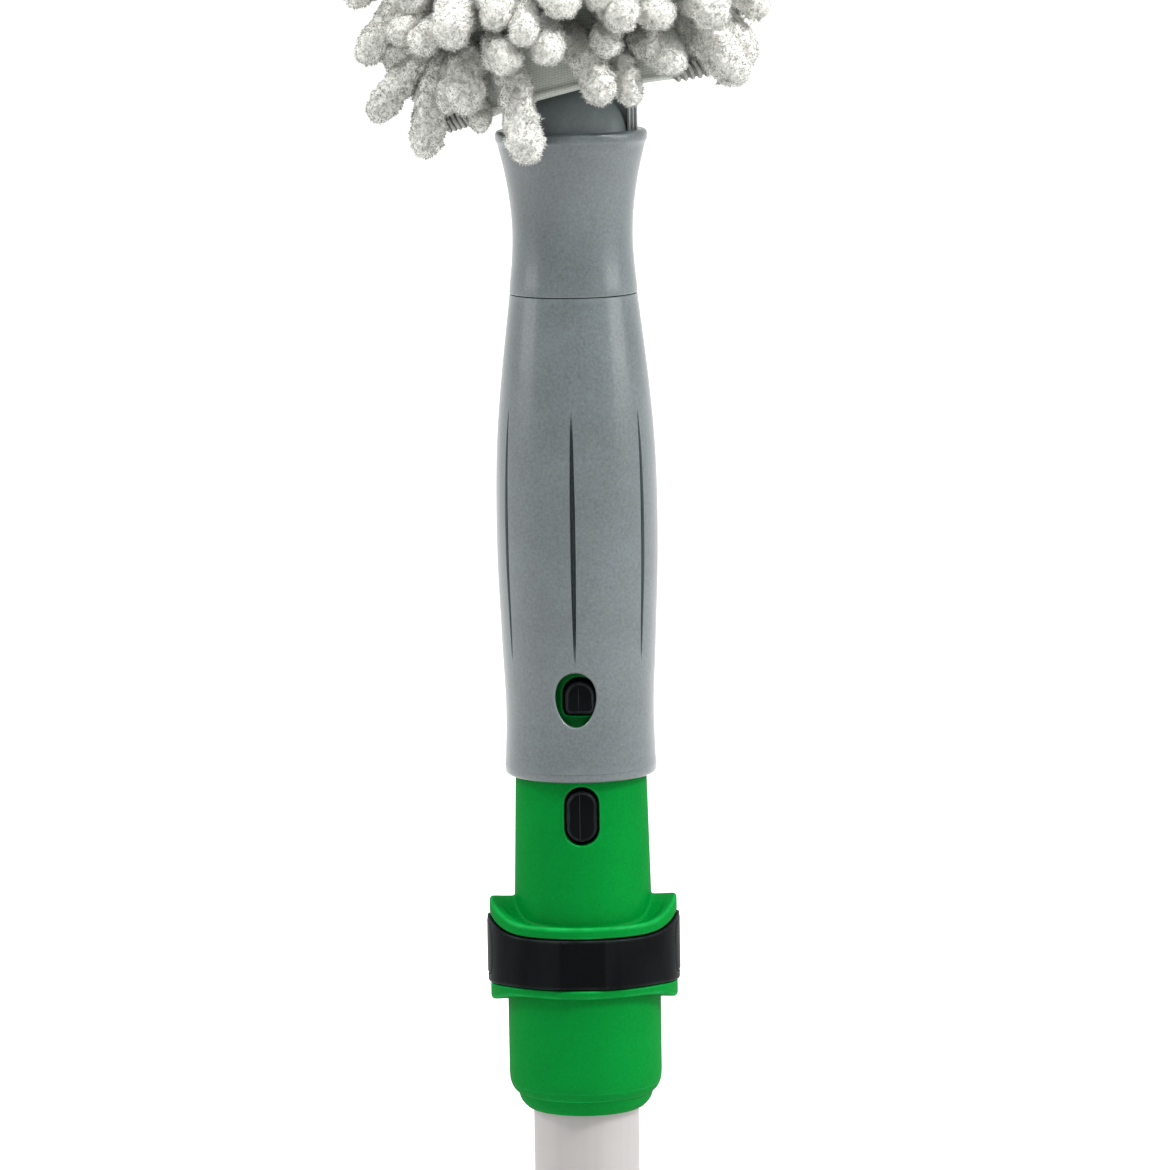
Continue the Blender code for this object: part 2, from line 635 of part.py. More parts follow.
def band_section(angle):
    """The clip band's section, between the two saddle flanges, with a flat panel in front and behind."""
    outer = oval_radius(angle, BAND_HALF_WIDTH, BAND_HALF_DEPTH)
    flat = BAND_FLAT_DEPTH / max(abs(math.sin(angle)), BAND_FLAT_DEPTH)
    outer = min(outer, flat)
    inner = oval_radius(angle, BAND_HALF_WIDTH - BAND_WALL, GROOVE_RADIUS + FIT_GAP)
    foot = LIP_Z + LOWER_FLANGE_TOP - LOWER_TOP_DROP * ear(angle) + FIT_GAP
    top = LIP_Z + UPPER_FLANGE_BASE + UPPER_BASE_LIFT * ear(angle) - FIT_GAP
    edge = FIT_GAP
    return [
        (inner, foot),
        (outer - edge, foot),
        (outer, foot + edge),
        (outer, top - edge),
        (outer - edge, top),
        (inner, top),
    ]


def clip_band(material):
    """The black band that holds the two release pads in its side windows."""
    band = turned("clip_band", band_section, CONE_SEGMENTS, material)
    half_height = PAD_HEIGHT / 2 + RUN_GAP
    reach = BAND_HALF_WIDTH + CUT_OVERRUN
    depth = PAD_HALF_DEPTH + RUN_GAP
    middle = LIP_Z + BAND_MIDDLE
    low = (-reach, -depth, middle - half_height)
    high = (reach, depth, middle + half_height)
    combine(band, box("pad_windows", low, high, material), "DIFFERENCE")
    return band


def release_pad(side, name, material):
    """A thumb pad with a curved face, and the round pusher that meets its snap button."""
    outer_width = BAND_HALF_WIDTH + PAD_PROUD
    face = []
    for k in range(ARC_STEPS + 1):
        y = PAD_HALF_DEPTH * (2 * k / ARC_STEPS - 1)
        face.append((side * outer_width * math.sqrt(1 - (y / BAND_HALF_DEPTH) ** 2), y))
    outline = face + [(side * PAD_INNER, PAD_HALF_DEPTH), (side * PAD_INNER, -PAD_HALF_DEPTH)]
    low = LIP_Z + BAND_MIDDLE - PAD_HEIGHT / 2
    pad = prism(name, outline, 2, low, low + PAD_HEIGHT, material)
    tip = POLE_RADIUS - SNAP_SIGHT + PAD_TRAVEL + FIT_GAP
    ends = sorted((side * tip, side * (PAD_INNER + BAND_WALL / 2)))
    outline = circle((0, LIP_Z + BAND_MIDDLE), SNAP_RADIUS, SMALL_SEGMENTS)
    combine(pad, prism(name + "_pusher", outline, 0, ends[0], ends[1], material), "UNION")
    return pad


def snap_button(side, name, material):
    """A headed button through the tube's wall into the cone, flush with the tube when it is pressed."""
    tip = POLE_RADIUS - SNAP_SIGHT + PAD_TRAVEL
    middle = LIP_Z + BAND_MIDDLE
    rings = []
    stations = (
        (SNAP_INNER, SNAP_HEAD_RADIUS),
        (SNAP_INNER + SNAP_HEAD, SNAP_HEAD_RADIUS),
        (SNAP_INNER + SNAP_HEAD, SNAP_RADIUS),
        (tip - SNAP_RADIUS / 4, SNAP_RADIUS),
        (tip, SNAP_RADIUS * 3 / 4),
    )
    for place, radius in stations:
        ring = circle((0, middle), radius, SMALL_SEGMENTS)
        rings.append([(side * place, y, z) for y, z in ring])
    return lofted(name, rings, material)


def snap_spring(material):
    """The V-shaped leaf inside the tube, bent over at its foot, that pushes both snap buttons out."""
    middle = LIP_Z + BAND_MIDDLE
    leaf_face = SNAP_INNER - FIT_GAP
    knee = middle - LEAF_DROP
    outer = [(leaf_face, middle + LEAF_OVERLAP), (leaf_face, middle - LEAF_OVERLAP)]
    bend = circle((0, knee), LEAF_BEND_RADIUS + LEAF_THICKNESS, 2 * ARC_STEPS + 1, 0, -math.pi)
    outer += bend + [(-leaf_face, middle - LEAF_OVERLAP), (-leaf_face, middle + LEAF_OVERLAP)]
    inside_face = leaf_face - LEAF_THICKNESS
    inner = [(-inside_face, middle + LEAF_OVERLAP), (-inside_face, middle - LEAF_OVERLAP)]
    inner += circle((0, knee), LEAF_BEND_RADIUS, 2 * ARC_STEPS + 1, -math.pi, math.pi)
    inner += [(inside_face, middle - LEAF_OVERLAP), (inside_face, middle + LEAF_OVERLAP)]
    return prism("snap_spring", outer + inner, 1, -LEAF_WIDTH / 2, LEAF_WIDTH / 2, material)


# Handle


def smooth_outline(knots, steps):
    """Points on a curve that runs through (radius, height) knots, a Catmull-Rom spline."""
    padded = [2 * np.array(knots[0]) - np.array(knots[1])] + [np.array(k) for k in knots]
    padded.append(2 * padded[-1] - padded[-2])
    points = []
    for a, b, c, d in zip(padded, padded[1:], padded[2:], padded[3:]):
        for k in range(steps):
            t = k / steps
            curve = 2 * b + (c - a) * t + (2 * a - 5 * b + 4 * c - d) * t**2 + (3 * b - a - 3 * c + d) * t**3
            points.append(tuple(curve / 2))
    points.append(tuple(knots[-1]))
    return points


def grip_height(share):
    """A height above the lip, at a share of the grip's length."""
    return HANDLE_FOOT + GRIP_LENGTH * share


def collar_height(share):
    """A height above the lip, at a share of the handle collar's length."""
    return SEAM_HEIGHT + HANDLE_COLLAR_LENGTH * share


def grip_section():
    """The grip's section: belly outside, cone socket and a straight bore inside."""
    knots = [
        (GRIP_FOOT_RADIUS, HANDLE_FOOT + FOOT_ROUND),
        (GRIP_WAIST_RADIUS, grip_height(WAIST_SHARE)),
        ((GRIP_WAIST_RADIUS + GRIP_BELLY_RADIUS) / 2, grip_height((WAIST_SHARE + BELLY_SHARE) / 2)),
        (GRIP_BELLY_RADIUS, grip_height(BELLY_SHARE)),
        (GRIP_SHOULDER_RADIUS, grip_height(SHOULDER_SHARE)),
        (SEAM_RADIUS, SEAM_HEIGHT - SEAM_GROOVE),
    ]
    outer = smooth_outline(knots, 3)
    socket_top = CONE_TOP + SOCKET_HEADROOM
    bore = SPIGOT_RADIUS + FIT_GAP
    corner = GRIP_FOOT_RADIUS - FOOT_ROUND / 3
    section = [(cone_radius(HANDLE_FOOT) + FIT_GAP, HANDLE_FOOT)]
    section += [(GRIP_FOOT_RADIUS - FOOT_ROUND, HANDLE_FOOT), (corner, HANDLE_FOOT + FOOT_ROUND / 3)] + outer
    section += [(SEAM_RADIUS - SEAM_GROOVE, SEAM_HEIGHT), (bore, SEAM_HEIGHT)]
    section += [(bore, socket_top), (cone_radius(CONE_TOP) + FIT_GAP, socket_top)]
    return [(radius, LIP_Z + height) for radius, height in section]


def flute_cutter(index, material):
    """A straight V cutter: its floor stays level while the belly swells past it, which leaves a lens."""
    angle = HANDLE_TURN - math.pi / 2 + math.tau * index / FLUTE_COUNT
    middle = LIP_Z + grip_height(BELLY_SHARE)
    outer = GRIP_BELLY_RADIUS + CUT_OVERRUN
    spread = FLUTE_HALF_WIDTH * (outer - FLUTE_FLOOR_RADIUS) / (GRIP_BELLY_RADIUS - FLUTE_FLOOR_RADIUS)
    ray = Vector((math.cos(angle), math.sin(angle), 0))
    across = Vector((-math.sin(angle), math.cos(angle), 0))
    corners = [ray * FLUTE_FLOOR_RADIUS, ray * outer + across * spread, ray * outer - across * spread]
    rings = []
    for height in (middle - FLUTE_REACH, middle + FLUTE_REACH):
        rings.append([tuple(corner + Vector((0, 0, height))) for corner in corners])
    return lofted(f"flute_{index + 1}", rings, material)


def window_outline():
    """The lock window's egg, wider above its middle, in the X-Z plane."""
    points = []
    for k in range(2 * SMALL_SEGMENTS):
        t = math.tau * k / (2 * SMALL_SEGMENTS)
        x = WINDOW_HALF_WIDTH * math.cos(t) * (1 + WINDOW_EGG_SHARE * math.sin(t))
        points.append((x, LIP_Z + WINDOW_HEIGHT + WINDOW_HALF_LENGTH * math.sin(t)))
    return points


def handle_grip(material):
    """The lower, long piece of the handle, with six flutes and the egg-shaped lock window."""
    section = grip_section()
    grip = turned("handle_grip", lambda angle: section, GRIP_SEGMENTS, material)
    for index in range(FLUTE_COUNT):
        combine(grip, flute_cutter(index, material), "DIFFERENCE")
    front = -(GRIP_BELLY_RADIUS + CUT_OVERRUN)
    window = prism("lock_window", window_outline(), 1, front, -CHAMBER_RADIUS, material)
    window.rotation_euler = (0, 0, HANDLE_TURN)
    combine(grip, window, "DIFFERENCE")
    return grip


def handle_collar(material):
    """The flared top piece: its spigot sits in the grip, and its bore holds the core's stem."""
    knots = [
        (SEAM_RADIUS, SEAM_HEIGHT + SEAM_GROOVE + FIT_GAP),
        (NECK_RADIUS, collar_height(NECK_SHARE)),
        (FLARE_RADIUS, collar_height(FLARE_SHARE)),
        (RIM_RADIUS, HANDLE_TOP - RIM_ROUND),
    ]
    bore = STEM_RADIUS + FIT_GAP
    foot = SEAM_HEIGHT - SPIGOT_LENGTH
    step = SEAM_HEIGHT + FIT_GAP
    section = [(bore, foot), (SPIGOT_RADIUS, foot), (SPIGOT_RADIUS, step), (SEAM_RADIUS - SEAM_GROOVE, step)]
    section += smooth_outline(knots, 3)
    section += [(RIM_RADIUS - RIM_ROUND / 3, HANDLE_TOP - RIM_ROUND / 3)]
    section += [(RIM_RADIUS - RIM_ROUND, HANDLE_TOP), (bore, HANDLE_TOP)]
    raised = [(radius, LIP_Z + height) for radius, height in section]
    return turned("handle_collar", lambda angle: raised, GRIP_SEGMENTS, material)


# Flat core


def core_outline():
    """The core's section in the X-Y plane: a thin web between two round side ribs that fit the sleeve."""
    half_depth = SLEEVE_HALF_DEPTH - SLEEVE_WALL
    edge, _ = stadium_point(0.5 / COLUMNS, SLEEVE_HALF_WIDTH - SLEEVE_WALL, half_depth)
    middle = edge[0] - FIT_GAP - CORE_RIB_RADIUS
    open_angle = math.asin(CORE_WEB_HALF_DEPTH / CORE_RIB_RADIUS)
    sweep = 2 * (math.pi - open_angle)
    right = circle((middle, 0), CORE_RIB_RADIUS, PIN_SEGMENTS, open_angle - math.pi, sweep)
    left = circle((-middle, 0), CORE_RIB_RADIUS, PIN_SEGMENTS, open_angle, sweep)
    return right + left


def knuckle(name, hinge_z, toward, low_x, high_x, material):
    """One hinge knuckle: a barrel on the axis with a tongue that runs into the web above or below."""
    thickness = CORE_WEB_HALF_DEPTH - FIT_GAP
    root = hinge_z + toward * (KNUCKLE_STANDOFF + KNUCKLE_ROOT)
    spread = math.asin(thickness / KNUCKLE_RADIUS)
    start = math.pi / 2 + spread if toward > 0 else spread - math.pi / 2
    barrel = circle((0, hinge_z), KNUCKLE_RADIUS, PIN_SEGMENTS + 1, start, math.tau - 2 * spread)
    sides = [(toward * thickness, root), (-toward * thickness, root)]
    return prism(name, barrel + sides, 0, low_x, high_x, material)


def add_side_knuckles(piece, hinge_z, material):
    """The two outer knuckles at the top of a piece, under the hinge's axis."""
    near = MIDDLE_KNUCKLE_HALF_WIDTH + RUN_GAP
    for side, word in ((-1, "left"), (1, "right")):
        ends = sorted((side * near, side * (near + SIDE_KNUCKLE_WIDTH)))
        name = f"{piece.name}_knuckle_{word}"
        combine(piece, knuckle(name, hinge_z, -1, ends[0], ends[1], material), "UNION")


def bore_hinge(piece, hinge_z, word, material):
    """The hole for a hinge pin through a piece's knuckles."""
    reach = MIDDLE_KNUCKLE_HALF_WIDTH + SIDE_KNUCKLE_WIDTH + CUT_OVERRUN
    hole = circle((0, hinge_z), HINGE_PIN_RADIUS + FIT_GAP, PIN_SEGMENTS)
    combine(piece, prism(f"{piece.name}_bore_{word}", hole, 0, -reach, reach, material), "DIFFERENCE")


def hinge_height(index):
    """Height of a core hinge, counted from 0, in the world."""
    return LIP_Z + FIRST_HINGE + LINK_PITCH * index


def core_base(material):
    """The stem in the handle, its tapered shoulder, the ribbed neck and the first stretch of flat core."""
    seat = LIP_Z + HANDLE_TOP + FIT_GAP
    neck_top = seat + NECK_WEB_LENGTH
    section = [
        (0, seat - STEM_LENGTH),
        (STEM_RADIUS, seat - STEM_LENGTH),
        (STEM_RADIUS, seat),
        (SHOULDER_RADIUS, seat),
        (SHOULDER_TIP_RADIUS, seat + SHOULDER_HEIGHT),
        (0, seat + SHOULDER_HEIGHT),
    ]
    base = turned("core_base", lambda angle: section, CONE_SEGMENTS // 2, material)
    web = NECK_WEB_HALF_DEPTH
    side = NECK_RIB_OUTER - NECK_RIB_WIDTH / 2
    combine(base, box("neck_web", (-side, -web, seat), (side, web, neck_top), material), "UNION")
    for sign, word in ((-1, "left"), (1, "right")):
        ends = sorted((sign * NECK_RIB_OUTER, sign * (NECK_RIB_OUTER - NECK_RIB_WIDTH)))
        deep = NECK_RIB_HALF_DEPTH
        rib = box(f"neck_rib_{word}", (ends[0], -deep, seat), (ends[1], deep, neck_top + deep / 2), material)
        combine(base, rib, "UNION")
    top = hinge_height(0) - KNUCKLE_STANDOFF
    combine(base, prism("core_stretch", core_outline(), 2, neck_top - web, top, material), "UNION")
    add_side_knuckles(base, hinge_height(0), material)
    bore_hinge(base, hinge_height(0), "top", material)
    return base


def core_link(index, material):
    """One link of the bendable core: a middle knuckle below, side knuckles above unless it is the last."""
    low, high = hinge_height(index), hinge_height(index + 1)
    last = index == LINK_COUNT - 1
    top = high - (LAST_LINK_INSET if last else KNUCKLE_STANDOFF)
    link = prism(f"core_link_{index + 1}", core_outline(), 2, low + KNUCKLE_STANDOFF, top, material)
    half = MIDDLE_KNUCKLE_HALF_WIDTH
    combine(link, knuckle(f"{link.name}_knuckle_middle", low, 1, -half, half, material), "UNION")
    bore_hinge(link, low, "foot", material)
    if not last:
        add_side_knuckles(link, high, material)
        bore_hinge(link, high, "top", material)
    return link


def hinge_pin(index, material):
    """The pin through one core hinge."""
    reach = MIDDLE_KNUCKLE_HALF_WIDTH + RUN_GAP + SIDE_KNUCKLE_WIDTH
    outline = circle((0, hinge_height(index)), HINGE_PIN_RADIUS, PIN_SEGMENTS)
    return prism(f"hinge_pin_{index + 1}", outline, 0, -reach, reach, material)


# Chenille sleeve


def stadium_point(share, half_width, half_depth):
    """A point at a share of the way round a flat tube's section, and the direction out of it."""
    straight = 2 * (half_width - half_depth)
    arc = math.pi * half_depth
    length = (share % 1) * 2 * (straight + arc) + arc / 2
    for sign in (1, -1):
        if length < arc:
            angle = length / half_depth - math.pi / 2
            out = (sign * math.cos(angle), sign * math.sin(angle))
            return (out[0] * half_depth + sign * straight / 2, out[1] * half_depth), out
        length -= arc
        if length < straight:
            return (sign * (straight / 2 - length), sign * half_depth), (0, sign)
        length -= straight
    angle = length / half_depth - math.pi / 2
    out = (math.cos(angle), math.sin(angle))
    return (out[0] * half_depth + straight / 2, out[1] * half_depth), out


def sleeve_ring(slice_index, share, inset):
    """One ring of sleeve points at a share of a slice's height: flat on top, slanted at the mouth."""
    opening = SLEEVE_HALF_DEPTH * math.tan(BEND_LIMIT / 2) + FIT_GAP
    top = hinge_height(slice_index) - opening
    ring = []
    for column in range(COLUMNS):
        half_depth = SLEEVE_HALF_DEPTH
        if slice_index == 0:
            half_depth += (MOUTH_HALF_DEPTH - SLEEVE_HALF_DEPTH) * (1 - share)
        place, _ = stadium_point((column + 0.5) / COLUMNS, SLEEVE_HALF_WIDTH - inset, half_depth - inset)
        low = hinge_height(slice_index - 1) + opening
        if slice_index == 0:
            low = LIP_Z + MOUTH_HEIGHT + MOUTH_SLOPE * place[0]
        ring.append(Vector((place[0], place[1], low + (top - low) * share)))
    return ring


def strand_droop(slice_index, row):
    """How far a strand hangs below level: steep at the mouth, level at the crown."""
    share = (slice_index + row / ROWS) / (LINK_COUNT + 1)
    if share < 1 / (LINK_COUNT + 1):
        return MOUTH_DROOP + (SLEEVE_DROOP - MOUTH_DROOP) * share * (LINK_COUNT + 1)
    return SLEEVE_DROOP + (CROWN_DROOP - SLEEVE_DROOP) * max(0, 2 * share - 1)


def grow_strand(points, faces, corners, droop, wander):
    """Raises a four-sided strand from four corner points of the backing, in two stretches."""
    base = [points[c] for c in corners]
    middle = sum(base, Vector()) / 4
    across = (base[1] - base[0]).normalized()
    out = across.cross(Vector((0, 0, 1))).normalized()
    across = out.cross(Vector((0, 0, -1))).normalized()
    out = (out + across * math.tan(wander)).normalized()
    previous, place = corners, middle
    stretches = (
        (FIRST_DROOP_SHARE, STRAND_KNEE_SHARE, STRAND_HALF_WIDTH),
        (LAST_DROOP_SHARE, 1 - STRAND_KNEE_SHARE, STRAND_TIP_HALF_WIDTH),
    )
    for bend, reach, half in stretches:
        angle = droop * bend
        heading = out * math.cos(angle) - Vector((0, 0, math.sin(angle)))
        place = place + heading * STRAND_LENGTH * reach
        up = across.cross(heading).normalized()
        if up.z < 0:
            up = -up
        signs = ((-1, -1), (1, -1), (1, 1), (-1, 1))
        ring = []
        for a, u in signs:
            ring.append(len(points))
            points.append(place + across * half * a + up * half * u)
        for k in range(4):
            j = (k + 1) % 4
            faces.append([previous[k], previous[j], ring[j], ring[k]])
        previous = ring
    faces.append(previous)


def sleeve_slice(index, material):
    """One slice of the sleeve: a flat tube of backing whose checkerboard of strands is raised from it."""
    margin = ROW_MARGIN_SHARE
    shares = [0] + [margin + (1 - 2 * margin) * row / ROWS for row in range(ROWS + 1)] + [1]
    points, faces = [], []
    for share in shares:
        points += sleeve_ring(index, share, 0)
    for share in (0, 1):
        points += sleeve_ring(index, share, SLEEVE_WALL)
    count = COLUMNS
    inner_low, inner_high = len(shares) * count, (len(shares) + 1) * count
    for level in range(len(shares) - 1):
        for column in range(count):
            after = (column + 1) % count
            low, high = level * count, (level + 1) * count
            corners = [low + column, low + after, high + after, high + column]
            row = level - 1
            inside = 0 <= row < ROWS
            if inside and (row + index * ROWS + column) % 2 == 0:
                wander = STRAND_WANDER * math.sin(row + index + 2 * column)
                grow_strand(points, faces, corners, strand_droop(index, row), wander)
            else:
                faces.append(corners)
    outer_top = (len(shares) - 1) * count
    for column in range(count):
        after = (column + 1) % count
        faces.append([column, after, inner_low + after, inner_low + column])
        faces.append([inner_low + column, inner_low + after, inner_high + after, inner_high + column])
        if index < LINK_COUNT:
            faces.append([outer_top + column, outer_top + after, inner_high + after, inner_high + column])
    if index == LINK_COUNT:
        close_crown(points, faces, index, outer_top, inner_high)
    return solid(f"duster_sleeve_{index + 1}", points, faces, material)


def close_crown(points, faces, index, outer_top, inner_high):
    """Closes the last slice above: a low crown outside and a flat roof inside."""
    count = COLUMNS
    crown = len(points)
    for column in range(count):
        rim = points[outer_top + column]
        points.append(Vector((rim.x * (1 + CROWN_SHARE) / 2, rim.y * CROWN_SHARE, rim.z + CROWN_HEIGHT)))
    for column in range(count):
        after = (column + 1) % count
        faces.append([outer_top + column, outer_top + after, crown + after, crown + column])
    faces.append(list(range(crown, crown + count)))
    faces.append(list(range(inner_high, inner_high + count)))


def build():
    """Makes every piece, then parents what moves to an empty on its joint's axis."""
    for thing in list(bpy.data.objects):
        bpy.data.objects.remove(thing, do_unlink=True)
    aluminium = paint("satin_aluminium", (0.52, 0.51, 0.50), 0.38, 1.0)
    rubber = paint("cap_rubber", (0.02, 0.02, 0.022), 0.75)
    green = paint("green_plastic", (0.004, 0.29, 0.055), 0.42)
    black = paint("black_plastic", (0.012, 0.013, 0.013), 0.40)
    gray = paint("gray_plastic", (0.20, 0.235, 0.245), 0.45)
    dark_gray = paint("core_plastic", (0.12, 0.14, 0.145), 0.55)
    steel = paint("spring_steel", (0.56, 0.56, 0.55), 0.30, 1.0)
    chenille = paint("chenille", (0.50, 0.50, 0.47), 0.95)

    pole_tube(aluminium)
    end_cap(rubber)
    locking_cone(green)
    lever_carrier(dark_gray)
    lever_pin(steel)
    lever_spring(steel)
    clip_band(black)
    snap_spring(steel)
    handle_grip(gray)
    handle_collar(gray)
    core_base(dark_gray)
    sleeve_slice(0, chenille)

    pivot = hinge_empty("lever_axis", (0, -PIVOT_DEPTH, LIP_Z + PIVOT_HEIGHT))
    carry(pivot, lock_lever(black))
    for side, word in ((-1, "left"), (1, "right")):
        axis = hinge_empty(f"release_axis_{word}", (side * PAD_INNER, 0, LIP_Z + BAND_MIDDLE))
        carry(axis, release_pad(side, f"release_pad_{word}", black))
        carry(axis, snap_button(side, f"snap_button_{word}", steel))
    parent = None
    for index in range(LINK_COUNT):
        parent = hinge_empty(f"bend_axis_{index + 1}", (0, 0, hinge_height(index)), parent)
        carry(parent, core_link(index, dark_gray), hinge_pin(index, steel), sleeve_slice(index + 1, chenille))


build()
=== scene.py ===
"""Microfiber duster, dressed for its picture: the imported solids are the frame, and finer skins ride on them.

Lengths are in metres. The pole stands along Z on the floor, and the front with its two lock buttons faces -Y.
"""

import math
from functools import partial

import bmesh
import bpy
import numpy as np
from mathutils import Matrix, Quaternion, Vector


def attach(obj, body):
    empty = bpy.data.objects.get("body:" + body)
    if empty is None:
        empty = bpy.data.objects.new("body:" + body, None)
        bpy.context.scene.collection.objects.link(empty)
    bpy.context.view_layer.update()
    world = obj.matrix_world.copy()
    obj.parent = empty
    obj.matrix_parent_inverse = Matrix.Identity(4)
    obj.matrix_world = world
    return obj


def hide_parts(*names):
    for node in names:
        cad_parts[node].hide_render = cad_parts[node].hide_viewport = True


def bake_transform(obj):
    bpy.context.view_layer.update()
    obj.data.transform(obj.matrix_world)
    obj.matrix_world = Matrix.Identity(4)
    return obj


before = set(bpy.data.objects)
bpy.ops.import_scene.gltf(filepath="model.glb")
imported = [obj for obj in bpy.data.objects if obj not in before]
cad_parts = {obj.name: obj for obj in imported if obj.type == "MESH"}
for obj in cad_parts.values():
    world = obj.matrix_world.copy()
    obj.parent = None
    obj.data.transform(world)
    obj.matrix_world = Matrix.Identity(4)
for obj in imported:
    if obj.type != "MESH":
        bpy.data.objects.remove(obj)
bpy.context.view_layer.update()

# Picture
# A long lens looks slightly down at the middle of the handle, and the duster leans a little to the left
# in the frame, so the head and the foot of the pole run out of it.

LENS_LENGTH = 200
SENSOR_WIDTH = 36
CAMERA_DISTANCE = 1.345
CLIP_RANGE = (0.05, 60)
CAMERA_PITCH = math.radians(8)
CAMERA_ROLL = math.radians(0.905)
AIM_POINT = Vector((0.00142, 0, 0.36461))

camera_data = bpy.data.cameras.new("camera")
camera_data.lens = LENS_LENGTH
camera_data.sensor_width = SENSOR_WIDTH
camera_data.clip_start, camera_data.clip_end = CLIP_RANGE
camera = bpy.data.objects.new("camera", camera_data)
bpy.context.scene.collection.objects.link(camera)
back_to_camera = Vector((0, -math.cos(CAMERA_PITCH), math.sin(CAMERA_PITCH)))
camera.location = AIM_POINT + back_to_camera * CAMERA_DISTANCE
camera.rotation_mode = "QUATERNION"
camera.rotation_quaternion = (-back_to_camera).to_track_quat("-Z", "Y") @ Quaternion((0, 0, 1), -CAMERA_ROLL)
bpy.context.scene.camera = camera
bpy.context.scene.view_settings.view_transform = "Standard"

# Studio
# A tall soft box stands at each side with a smaller one above it, a wide one hangs overhead, and the pale
# room fills the rest. The floor and the air look white to the camera and in reflections, and the floor
# keeps the shadow.

BOXES = {
    "left_box": (-84, 9.0, 1.3, 1.05, (0.80, 1.3)),
    "right_box": (78, 12.5, 1.3, 1.05, (0.80, 1.3)),
    "high_left_box": (-82, 9.0, 1.2, 1.50, (0.07, 0.35)),
    "high_right_box": (58, 21.0, 1.2, 1.50, (0.20, 0.36)),
    "top_box": (0, 15.0, 0.6, 2.10, (1.00, 1.00)),
}
BOX_AIM = Vector((0, 0, 0.40))
ROOM_LIGHT = 0.44
FLOOR_HALF = 25.0
FLOOR_GRAY = (0.80, 0.80, 0.80, 1)
FLOOR_ROUGHNESS = 0.9
FLOOR_LIFT = 0.35
FLOOR_FADE = (0.35, 0.95)


def shader_node(tree, kind, settings=None, **sockets):
    """One shader node. Settings are its own properties; a socket's value is a number, a colour or another
    node's output, and its name is written with _ for each space."""
    node = tree.nodes.new(kind)
    for key, value in (settings or {}).items():
        setattr(node, key, value)
    for key, value in sockets.items():
        name = key.replace("_", " ")
        socket = node.inputs[int(key[1:])] if key[1:].isdigit() else node.inputs[name]
        if isinstance(value, bpy.types.NodeSocket):
            tree.links.new(value, socket)
        else:
            socket.default_value = value
    return node


def math_node(tree, operation, first, second=0.0, third=0.0):
    """The output of one sum: add, multiply, maximum and the like."""
    settings = {"operation": operation}
    return shader_node(tree, "ShaderNodeMath", settings, i0=first, i1=second, i2=third).outputs[0]


def seen_rays(tree):
    """One where the camera, a reflection or a refraction looks, zero where light falls."""
    path = shader_node(tree, "ShaderNodeLightPath").outputs
    seen = math_node(tree, "MAXIMUM", path["Is Camera Ray"], path["Is Glossy Ray"])
    return math_node(tree, "MAXIMUM", seen, path["Is Transmission Ray"])


room = bpy.data.worlds.new("pale_room")
room.use_nodes = True
room.node_tree.nodes.clear()
air = shader_node(room.node_tree, "ShaderNodeBackground", Color=(1, 1, 1, 1))
span = math_node(room.node_tree, "MULTIPLY", seen_rays(room.node_tree), 1 - ROOM_LIGHT)
room.node_tree.links.new(math_node(room.node_tree, "ADD", span, ROOM_LIGHT), air.inputs["Strength"])
shader_node(room.node_tree, "ShaderNodeOutputWorld", Surface=air.outputs[0])
bpy.context.scene.world = room

for name, (azimuth, power, distance, height, size) in BOXES.items():
    box = bpy.data.lights.new(name, "AREA")
    box.shape = "RECTANGLE"
    box.size, box.size_y = size
    box.energy = power
    lamp = bpy.data.objects.new(name, box)
    bpy.context.scene.collection.objects.link(lamp)
    turn = math.radians(azimuth)
    lamp.location = (math.sin(turn) * distance, -math.cos(turn) * distance, height)
    lamp.rotation_euler = (BOX_AIM - lamp.location).to_track_quat("-Z", "Y").to_euler()

floor_mesh = bpy.data.meshes.new("floor")
corners = [(-FLOOR_HALF, -FLOOR_HALF, 0), (FLOOR_HALF, -FLOOR_HALF, 0), (FLOOR_HALF, FLOOR_HALF, 0)]
floor_mesh.from_pydata(corners + [(-FLOOR_HALF, FLOOR_HALF, 0)], [], [(0, 1, 2, 3)])
floor = bpy.data.objects.new("floor", floor_mesh)
bpy.context.scene.collection.objects.link(floor)
floor_paint = bpy.data.materials.new("floor_paint")
floor_paint.use_nodes = True
tree = floor_paint.node_tree
place = shader_node(tree, "ShaderNodeTexCoord").outputs["Object"]
far = shader_node(tree, "ShaderNodeVectorMath", {"operation": "LENGTH"}, i0=place).outputs["Value"]
lift = shader_node(tree, "ShaderNodeMapRange", {"interpolation_type": "SMOOTHSTEP"}, Value=far)
lift.inputs["From Min"].default_value, lift.inputs["From Max"].default_value = FLOOR_FADE
lift.inputs["To Min"].default_value, lift.inputs["To Max"].default_value = FLOOR_LIFT, 1.0
glow = math_node(tree, "MULTIPLY", seen_rays(tree), lift.outputs[0])
paint = tree.nodes["Principled BSDF"]
paint.inputs["Base Color"].default_value = FLOOR_GRAY
paint.inputs["Roughness"].default_value = FLOOR_ROUGHNESS
paint.inputs["Specular IOR Level"].default_value = 0.0
paint.inputs["Emission Strength"].default_value = 1.0
shown = shader_node(tree, "ShaderNodeCombineColor", Red=glow, Green=glow, Blue=glow)
tree.links.new(shown.outputs[0], paint.inputs["Emission Color"])
floor_mesh.materials.append(floor_paint)

# Pole tube
# Drawn aluminium, 22 mm across with a 1.5 mm wall, satin anodised, so faint draw lines run along it.
# It stands in the rubber cap and pushes 44 mm up into the cone, where the snap buttons catch its two holes.

